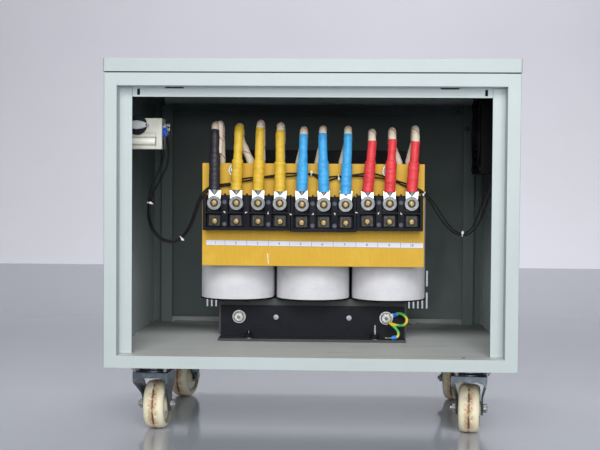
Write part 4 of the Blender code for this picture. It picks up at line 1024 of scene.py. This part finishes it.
def terminals():
    refined("terminal_board", [BOARD], 0.0005)
    for name in ("left", "middle", "right"):
        refined("terminal_block_" + name, [MOULDING], 0.0006)
    lugs, washers, plates, heads, mould = Shape(), Shape(), Shape(), Shape(), Shape()
    screw = pan_head(0.0049, 0.0026)
    for number in range(TERMINALS):
        x, up = pole_x(number), rise(number)
        lean = ((number * 37) % 10 - 4.5) / 9
        high = facing((x + 0.0006 * lean, POCKET_FLOOR, 0.3495 + up), "front", 8 * lean)
        # tongue of the lug, with the ridge that runs up into its barrel
        tongue = [(-0.0090 * c, -0.0090 * s) for c, s in arc(12)]
        tongue += [(0.0098, 0.0200 - up), (-0.0098, 0.0200 - up)]
        lugs.prism(tongue, 0.0003, 0.0028, high)
        ridge = []
        for z, half, deep in ((0.3610, 0.0006, 0.0004), (0.3650, 0.0036, 0.0022),
                              (0.3690, 0.0066, 0.0046), (0.3715, 0.0076, 0.0062),
                              (0.3760, 0.0076, 0.0070)):
            middle = -0.1068 if z < 0.37 else LEAD_FRONT
            ridge.append([(x + half * c, middle + deep * s, z) for c, s in circle(16)])
        faces = [tuple(range(16)), tuple(range(64, 80))]
        faces += [(r * 16 + i, r * 16 + (i + 1) % 16, r * 16 + 16 + (i + 1) % 16, r * 16 + 16 + i)
                  for r in range(4) for i in range(16)]
        lugs.add([p for ring in ridge for p in ring], faces)
        washer(washers, high @ Matrix.Translation((0, 0, 0.0029)), 0.0110, 0.0030, 0.0014)
        washer(washers, high @ Matrix.Translation((0, 0, 0.0044)), 0.0062, 0.0030, 0.0012, 1)
        heads.add(*screw, high @ Matrix.Translation((0, 0, 0.0057))
                  @ Matrix.Rotation(math.radians(40 * lean + 90 * number), 4, "Z"))
        low = facing((x - 0.0008 * lean, POCKET_FLOOR, 0.3211 + up), "front", 5 * lean)
        plates.prism([(-0.0088, -0.0070), (0.0088, -0.0070), (0.0088, 0.0098), (-0.0088, 0.0098)],
                     0.0003, 0.0020, low)
        washer(washers, low @ Matrix.Translation((0, 0, 0.0021)), 0.0058, 0.0028, 0.0010, 1)
        heads.add(*screw, low @ Matrix.Translation((0, 0, 0.0031))
                  @ Matrix.Rotation(math.radians(25 + 73 * number), 4, "Z"))
    for number in range(TERMINALS + 1):
        x = pole_x(number) - TERMINAL_PITCH / 2
        up = rise(min(number, TERMINALS - 1))
        top = BLOCK_BOTTOMS[0] + up + BLOCK_HEIGHT
        # peg on the barrier's top, with a thin rib down its face on both sides
        inside = 0.0022 if number == 0 else -0.0022 if number == TERMINALS else 0.0
        mould.prism([(-0.0016, 0), (0.0016, 0), (0.0008, 0.0030), (-0.0008, 0.0030)],
                    0.0, 0.012, facing((x + inside, -0.1040, top - 0.0002), "front"))
        if 0 < number < TERMINALS:
            for side in (-1, 1):
                shift = side * (0.0038 if number in BLOCK_SEAMS else 0.0040)
                mould.block((x + shift - 0.0007, -0.1186, BLOCK_BOTTOMS[0] + up + 0.0045),
                            (x + shift + 0.0007, -0.1179, top - 0.0004))
            clip = facing((x, BLOCK_FRONT, 0.3350 + up), "front", 40 + 67 * number)
            mould.prism([(-0.0022, -0.0009), (0.0014, -0.0012), (0.0024, 0.0004), (0.0010, 0.0016),
                         (0.0004, 0.0002)], -0.0004, 0.0010, clip, 1)
        if number in (1, 3, 5, 6, 8, 9):
            for z in (0.3172, 0.3510):
                plug = facing((x, BLOCK_FRONT, z + up), "front")
                mould.lathe([(0.0, -0.0003), (0.0034, -0.0003), (0.0034, 0.0006), (0.0030, 0.0010),
                             (0.0022, 0.0010), (0.0018, 0.0003), (0.0, 0.0003)], plug, 20, 2)
    lugs.build("lugs", [TINNED], slot="zinc_plate", bevel=0.0004)
    washers.build("terminal_washers", [WASHER, PLATE], slot="zinc_plate")
    plates.build("terminal_plates", [PLATE], slot="zinc_plate", bevel=0.0004)
    heads.build("terminal_screws", [GOLD], slot="zinc_plate", sharp=25)
    mould.build("block_trim", [MOULDING, NYLON, PLUG], slot="block_moulding",
                bevel=0.0002)


def labels():
    """Paper strip in three lengths with plain numerals."""
    strip, lines = Shape(), Shape()
    edges = [-0.1670, -0.1375, -0.1035, -0.0695, -0.0360, -0.0020, 0.0320, 0.0675, 0.1015, 0.1370,
             0.1720]
    for first, last in ((0, 4), (4, 7), (7, 10)):
        points = []
        for x in (edges[first] + 0.0002, edges[last] - 0.0002):
            drop = (x - edges[0]) * STRIP_SLOPE
            points += [(x, 0.2828 - drop), (x, 0.2912 - drop)]
        outline = [points[0], points[2], points[3], points[1]]
        front = facing((0, BOARD_FACE, 0), "front")
        strip.prism(outline, 0.0001, 0.0004, front)
        for lift in (0.0, 0.0080):
            near, far = points[0], points[2]
            border = [(near[0], near[1] + lift), (far[0], far[1] + lift),
                      (far[0], far[1] + (lift + 0.0004)), (near[0], near[1] + (lift + 0.0004))]
            strip.prism(border, 0.00035, 0.00048, front, 1)
    for number, x in enumerate(edges):
        drop = (x - edges[0]) * STRIP_SLOPE
        if number % 10:
            lines.block((x - 0.0002, -0.08550, 0.2829 - drop),
                        (x + 0.0002, -0.08535, 0.2911 - drop))
    for number in range(TERMINALS):
        middle = (edges[number] + edges[number + 1]) / 2
        text = bpy.data.curves.new("numeral", "FONT")
        text.body, text.align_x = str(number + 1), "CENTER"
        text.size, text.extrude = 0.0058, 0.00006
        made = bpy.data.objects.new("numeral", text)
        link(made)
        made.matrix_world = facing(
            (middle, -0.08545, 0.2849 - (middle - edges[0]) * STRIP_SLOPE), "front")
        bpy.context.view_layer.update()
        mesh = bpy.data.meshes.new_from_object(
            made.evaluated_get(bpy.context.evaluated_depsgraph_get()))
        lines.add([made.matrix_world @ v.co for v in mesh.vertices],
                  [tuple(p.vertices) for p in mesh.polygons])
        bpy.data.objects.remove(made)
    strip.build("label_strip", [PAPER, BORDER], slot="coil_wrap")
    lines.build("label_print", [INK], slot="black_wire")


# ------------------------------------------------------------------ leads

SLEEVES = {"n": (BLACK_SHRINK, "black_sleeve"), "u": (YELLOW_SHRINK, "yellow_sleeve"),
           "v": (BLUE_SHRINK, "blue_sleeve"), "w": (RED_SHRINK, "red_sleeve")}
# name, X at the turn, top of the turn, X of the rear leg, top of the coloured sleeve, height
# where it widens, and where it ends at the lug
LEADS = (("n", -0.1517, 0.4771, -0.1567, 0.4598, 0.4259, 0.3705),
         ("u1", -0.1149, 0.4742, -0.0989, 0.4668, 0.4167, 0.3700),
         ("u2", -0.0821, 0.4798, -0.0821, 0.4600, 0.4160, 0.3695),
         ("u3", -0.0508, 0.4761, -0.0508, 0.4572, 0.4140, 0.3680),
         ("v1", -0.0148, 0.4700, -0.0226, 0.4512, 0.4120, 0.3690),
         ("v2", 0.0148, 0.4718, 0.0076, 0.4534, 0.4140, 0.3680),
         ("v3", 0.0537, 0.4712, 0.0452, 0.4540, 0.4105, 0.3650),
         ("w1", 0.0910, 0.4667, 0.0910, 0.4424, 0.4150, 0.3680),
         ("w2", 0.1220, 0.4692, 0.1335, 0.4444, 0.4160, 0.3680),
         ("w3", 0.1577, 0.4717, 0.1497, 0.4458, 0.4140, 0.3690))


def lead_route(foot_x, foot_z, top_x, top, rear_x):
    """Centreline up from the lug, over the turn and down behind the board to the coil."""
    turn = (LEAD_REAR - LEAD_FRONT) / 2
    bend = top - turn - LEAD_RADIUS
    route = []
    for i in range(22):
        z = foot_z + (bend - foot_z) * (i / 22)
        share = max(0.0, (z - SPLAY_Z) / (bend - SPLAY_Z))
        route.append(Vector((foot_x + (top_x - foot_x) * share, LEAD_FRONT, z)))
    route += [Vector((top_x, LEAD_FRONT + turn * (1 - c), bend + turn * s)) for c, s in arc(12)]
    for i in range(1, 16):
        t = i / 15
        route.append(Vector((top_x + (rear_x - top_x) * t, LEAD_REAR,
                             bend + (LEVEL_Z - bend) * t)))
    for i in range(1, 17):
        route.append(Vector((rear_x, LEAD_REAR, LEVEL_Z + (ELBOW_Z - LEVEL_Z) * i / 16)))
    for c, s in arc(5, math.pi / 2)[1:]:
        route.append(Vector((rear_x, LEAD_REAR + ELBOW * (1 - c), ELBOW_Z - ELBOW * s)))
    return route


def ripple(place, seed, amount):
    return amount * noise.noise(Vector((place.x, place.y, place.z)) * 130 + Vector((seed, 0, 0)))


def leads():
    for number, (name, top_x, top, rear_x, sleeve_top, widens, foot) in enumerate(LEADS):
        look, slot = SLEEVES[name[0]]
        x = pole_x(number)
        route = lead_route(x, foot, top_x, top, rear_x)
        last = next(i for i, p in enumerate(route) if p.z > sleeve_top or p.y > -0.0985)
        cover = smooth_route(route[:last + 1], 0.0008)
        radii = []
        for place in cover:
            share = min(1.0, max(0.0, (widens + 0.0006 - place.z) / 0.0012))
            radius = SHRINK_RADIUS + SHRINK_SWELL * share
            bands = 0.00018 * math.sin(place.z * 900 + number) * share
            radii.append(radius + bands + ripple(place, number * 3.1, 0.0007))
        shrink = Shape()
        shrink.sweep([cover[0] - Vector((0, 0, 0.0002))] + cover, [radii[0] * 0.93] + radii, 28,
                     flat=0.98)
        shrink.build(f"lead_{name}_cover", [look], slot=slot, sharp=50)
        bare = smooth_route(route[max(0, last - 3):], 0.0030)
        sleeving = Shape()
        radii = [0.0060 + ripple(p, number * 5.7 + 20, 0.0006) for p in bare]
        sleeving.sweep(bare, radii, 24, pitch=TRACER_PITCH)
        if name == "n":
            beside = lead_route(x + 0.003, foot, top_x + 0.0065, top + 0.0015, -0.1440)[15:]
            beside = smooth_route([Vector((p.x, max(p.y, -0.0965), p.z)) for p in beside], 0.0030)
            radii = [0.0052 + ripple(p, 40.0, 0.0006) for p in beside]
            sleeving.sweep(beside, radii, 24, pitch=TRACER_PITCH)
        sleeving.build(f"lead_{name}_sleeving", [SLEEVING], slot="coil_wrap",
                       stands_for=("lead_" + name,), sharp=50)


# ------------------------------------------------------------------ wires

HARNESS = [(-0.2275, -0.112, 0.4525), (-0.2275, -0.112, 0.442), (-0.229, -0.111, 0.428),
           (-0.235, -0.109, 0.407), (-0.247, -0.108, 0.378), (-0.2525, -0.107, 0.359),
           (-0.2545, -0.106, 0.331), (-0.250, -0.104, 0.311), (-0.240, -0.103, 0.297),
           (-0.228, -0.102, 0.290), (-0.214, -0.100, 0.289), (-0.202, -0.098, 0.297),
           (-0.191, -0.097, 0.313), (-0.183, -0.096, 0.335), (-0.176, -0.094, 0.355),
           (-0.164, -0.0915, 0.3705), (-0.147, -0.091, 0.376), (-0.128, -0.091, 0.379),
           (-0.109, -0.091, 0.385), (-0.083, -0.091, 0.389), (-0.058, -0.091, 0.392),
           (-0.031, -0.091, 0.394), (-0.003, -0.091, 0.395), (0.008, -0.091, 0.391),
           (0.019, -0.091, 0.3865), (0.029, -0.091, 0.389), (0.039, -0.091, 0.391),
           (0.056, -0.091, 0.393), (0.073, -0.091, 0.394), (0.092, -0.091, 0.394),
           (0.123, -0.091, 0.387), (0.149, -0.091, 0.377), (0.170, -0.0915, 0.368),
           (0.184, -0.091, 0.353), (0.196, -0.090, 0.335), (0.208, -0.089, 0.318),
           (0.222, -0.087, 0.306), (0.237, -0.086, 0.303), (0.249, -0.084, 0.312),
           (0.257, -0.083, 0.325), (0.264, -0.082, 0.344), (0.272, -0.080, 0.365),
           (0.277, -0.079, 0.382), (0.2785, -0.078, 0.3968)]
TWIST_STEPS = 46.0     # points of the route for each turn of the two wires along the board
TIES = (-0.254, -0.205, -0.128, -0.058, -0.003, 0.039, 0.172, 0.231)
EARTH_WIRE = [(0.1320, -0.0130, 0.1680), (0.1385, -0.0180, 0.1712), (0.1455, -0.0235, 0.1700),
              (0.1505, -0.0280, 0.1650), (0.1505, -0.0300, 0.1590), (0.1460, -0.0285, 0.1540),
              (0.1385, -0.0245, 0.1525), (0.1310, -0.0225, 0.1537), (0.1252, -0.0245, 0.1562),
              (0.1225, -0.0300, 0.1580), (0.1235, -0.0358, 0.1575), (0.1280, -0.0400, 0.1540),
              (0.1335, -0.0425, 0.1490), (0.1370, -0.0440, 0.1435), (0.1365, -0.0455, 0.1385),
              (0.1325, -0.0465, 0.1356), (0.1275, -0.0470, 0.1352)]


def harness():
    """A pair of wires held together by ties and splaying a little between them."""
    route = smooth_route(HARNESS, 0.0030)
    count = len(route)
    held = []
    for x in TIES:
        near = [i for i in range(count) if abs(route[i].x - x) < 0.004]
        held.append(min(near, key=lambda i: (abs(route[i].x - x), i)))
    first_tie = Vector((-0.2537, -0.1065, 0.349))
    held[0] = min(range(count), key=lambda i: (route[i] - first_tie).length)
    stops = [0] + held + [count - 1]
    spread = {0: 0.0030, 1: 0.0002, 2: 0.0003, 3: 0.0012, 4: 0.0014, 5: 0.0016, 6: 0.0016,
              7: 0.0012, 8: 0.0022}
    strands = ([], [])
    for i, place in enumerate(route):
        span = max(k for k in range(len(stops) - 1) if stops[k] <= i)
        share = (i - stops[span]) / max(1, stops[span + 1] - stops[span])
        along = (route[min(i + 1, count - 1)] - route[max(i - 1, 0)]).normalized()
        across = along.cross(Vector((0, 1, 0))).normalized()
        swell = math.sin(math.pi * share)
        if span == 0:
            swell = math.sin(math.pi * (0.18 + 0.82 * share))
        twist = math.cos(math.tau * i / TWIST_STEPS) if 3 <= span <= 6 else 1.0
        for strand, side in zip(strands, (-1, 1)):
            away = 0.00125 + spread[span] * swell
            lift = Vector((0, 1, 0)) * side * 0.0011 * math.sqrt(max(0.0, 1 - twist * twist))
            if span == 0:
                near = max(0.0, 1 - share * 2.2) ** 1.5
                lift = Vector((0.0050 * swell * (1 - near) - 0.0006 * near, -0.0085 * near, 0))
            strand.append(place + across * side * away * twist + lift)
    first, second = (min(range(count), key=lambda i: abs(route[i].x - x)) for x in (-0.150, 0.150))
    for name, low, high, thick in (("left_drop", 0, first, 0.00138),
                                   ("board_run", first, second, 0.00124),
                                   ("right_drop", second, count - 1, 0.00116)):
        wires = Shape()
        for strand in strands:
            wires.sweep(strand[low:high + 1], thick, 12)
        wires.build(f"harness_{name}_pair", [BLACK_PVC], slot="black_wire",
                    stands_for=("harness_" + name,))
    ties = Shape()
    for index, i in enumerate(held):
        along = (route[min(i + 1, count - 1)] - route[i - 1]).normalized()
        across = along.cross(Vector((0, 1, 0))).normalized()
        deep = along.cross(across)
        loop = [route[i] + across * (0.0027 * c) + deep * (0.0018 * s) for c, s in circle(20)]
        ties.sweep(loop, 0.0009, 8, closed=True)
        side = -1 if index in (1, 2, 5, 6) else 1
        head = route[i] + across * side * 0.0030 + Vector((0, -0.0022, 0))
        base = Matrix((across, along, deep)).transposed().to_4x4()
        ties.block((-0.0019, -0.0017, -0.0017), (0.0019, 0.0017, 0.0017),
                   Matrix.Translation(head) @ base)
        tail = head + across * side * 0.0042 - Vector((0, 0.0008, 0.0012 * side))
        ties.sweep([head, head.lerp(tail, 0.5), tail], [0.0009, 0.0008, 0.0006], 8, flat=0.6)
    ties.build("harness_ties", [NYLON], slot="coil_wrap", bevel=0.0002)


def earth():
    route = smooth_route(EARTH_WIRE, 0.0016)
    Shape().sweep(route, 0.00218, 20, pitch=0.030).build(
        "earth_wire_striped", [EARTH], slot="earth_wire_cover", stands_for=("earth_wire",))
    crimps, rings = Shape(), Shape()
    for inner, outer in ((route[4], route[0]), (route[-5], route[-1])):
        along = (outer - inner).normalized()
        stops = [inner, inner + along * 0.0006, outer + along * 0.0012, outer + along * 0.0016]
        crimps.sweep(stops, [0.0028, 0.0034, 0.0034, 0.0028], 18)
        crimps.sweep([inner.lerp(outer, 0.45), inner.lerp(outer, 0.75)], 0.0036, 18, flat=0.86)
    crimps.build("earth_crimps", [CRIMP_BLUE], slot="earth_wire_cover")
    top = facing((BOLT_X[1] + 0.0035, -0.0136, BOLT_LOW_Z + 0.002), "front", 24)
    rings.prism([(0.0045, -0.0034), (0.0120, -0.0020), (0.0120, 0.0020), (0.0045, 0.0034)],
                0.0, 0.0009, top)
    foot = facing((0.1225, -0.0470, 0.1349), "up", 180)
    rings.prism([(-0.0045, -0.0018), (0.0030, -0.0018), (0.0050, -0.0028), (0.0070, -0.0026),
                 (0.0070, 0.0026), (0.0050, 0.0028), (0.0030, 0.0018), (-0.0045, 0.0018)],
                0.0, 0.0008, foot)
    rings.build("earth_lugs", [BRIGHT_ZINC], slot="zinc_plate")


def make_floor():
    """A plain pale floor that curves up into a wall far behind, painted darker farther back as
    painted shade.
    """
    profile = [(-7.0, 0.0), (3.6, 0.0)]
    profile += [(3.6 + 1.2 * s, 1.2 - 1.2 * c) for c, s in arc(8, math.pi / 2)[1:]]
    profile.append((4.8, 5.0))
    points = [(x, y, z) for y, z in profile for x in (-7.0, 7.0)]
    faces = [(2 * i, 2 * i + 1, 2 * i + 3, 2 * i + 2) for i in range(len(profile) - 1)]
    mesh = bpy.data.meshes.new("studio_floor")
    mesh.from_pydata(points, [], faces)
    mesh.shade_smooth()
    floor = bpy.data.objects.new("studio_floor", mesh)
    link(floor)
    look = Look("pale_floor", (186, 190, 199), 0.13)
    look.patches(2.0, 0.3, 0.8, (180, 184, 193), 0.5)
    # painted shade: the floor darkens farther back
    look.tint(look.between(look.y, -0.3, 1.2), (132, 136, 146))
    wall = Look("pale_wall", (226, 226, 234), 0.8)
    wall.patches(1.5, 0.3, 0.8, (220, 220, 228), 0.5)
    mesh.materials.append(look.material)
    mesh.materials.append(wall.material)
    for face in mesh.polygons:
        face.material_index = int(face.center.y > 3.7)


make_camera()
make_light()
make_floor()
harness()
earth()
cabinet()
cabinet_fasteners()
casters()
fan()
thermostat()
transformer()
terminals()
labels()
leads()
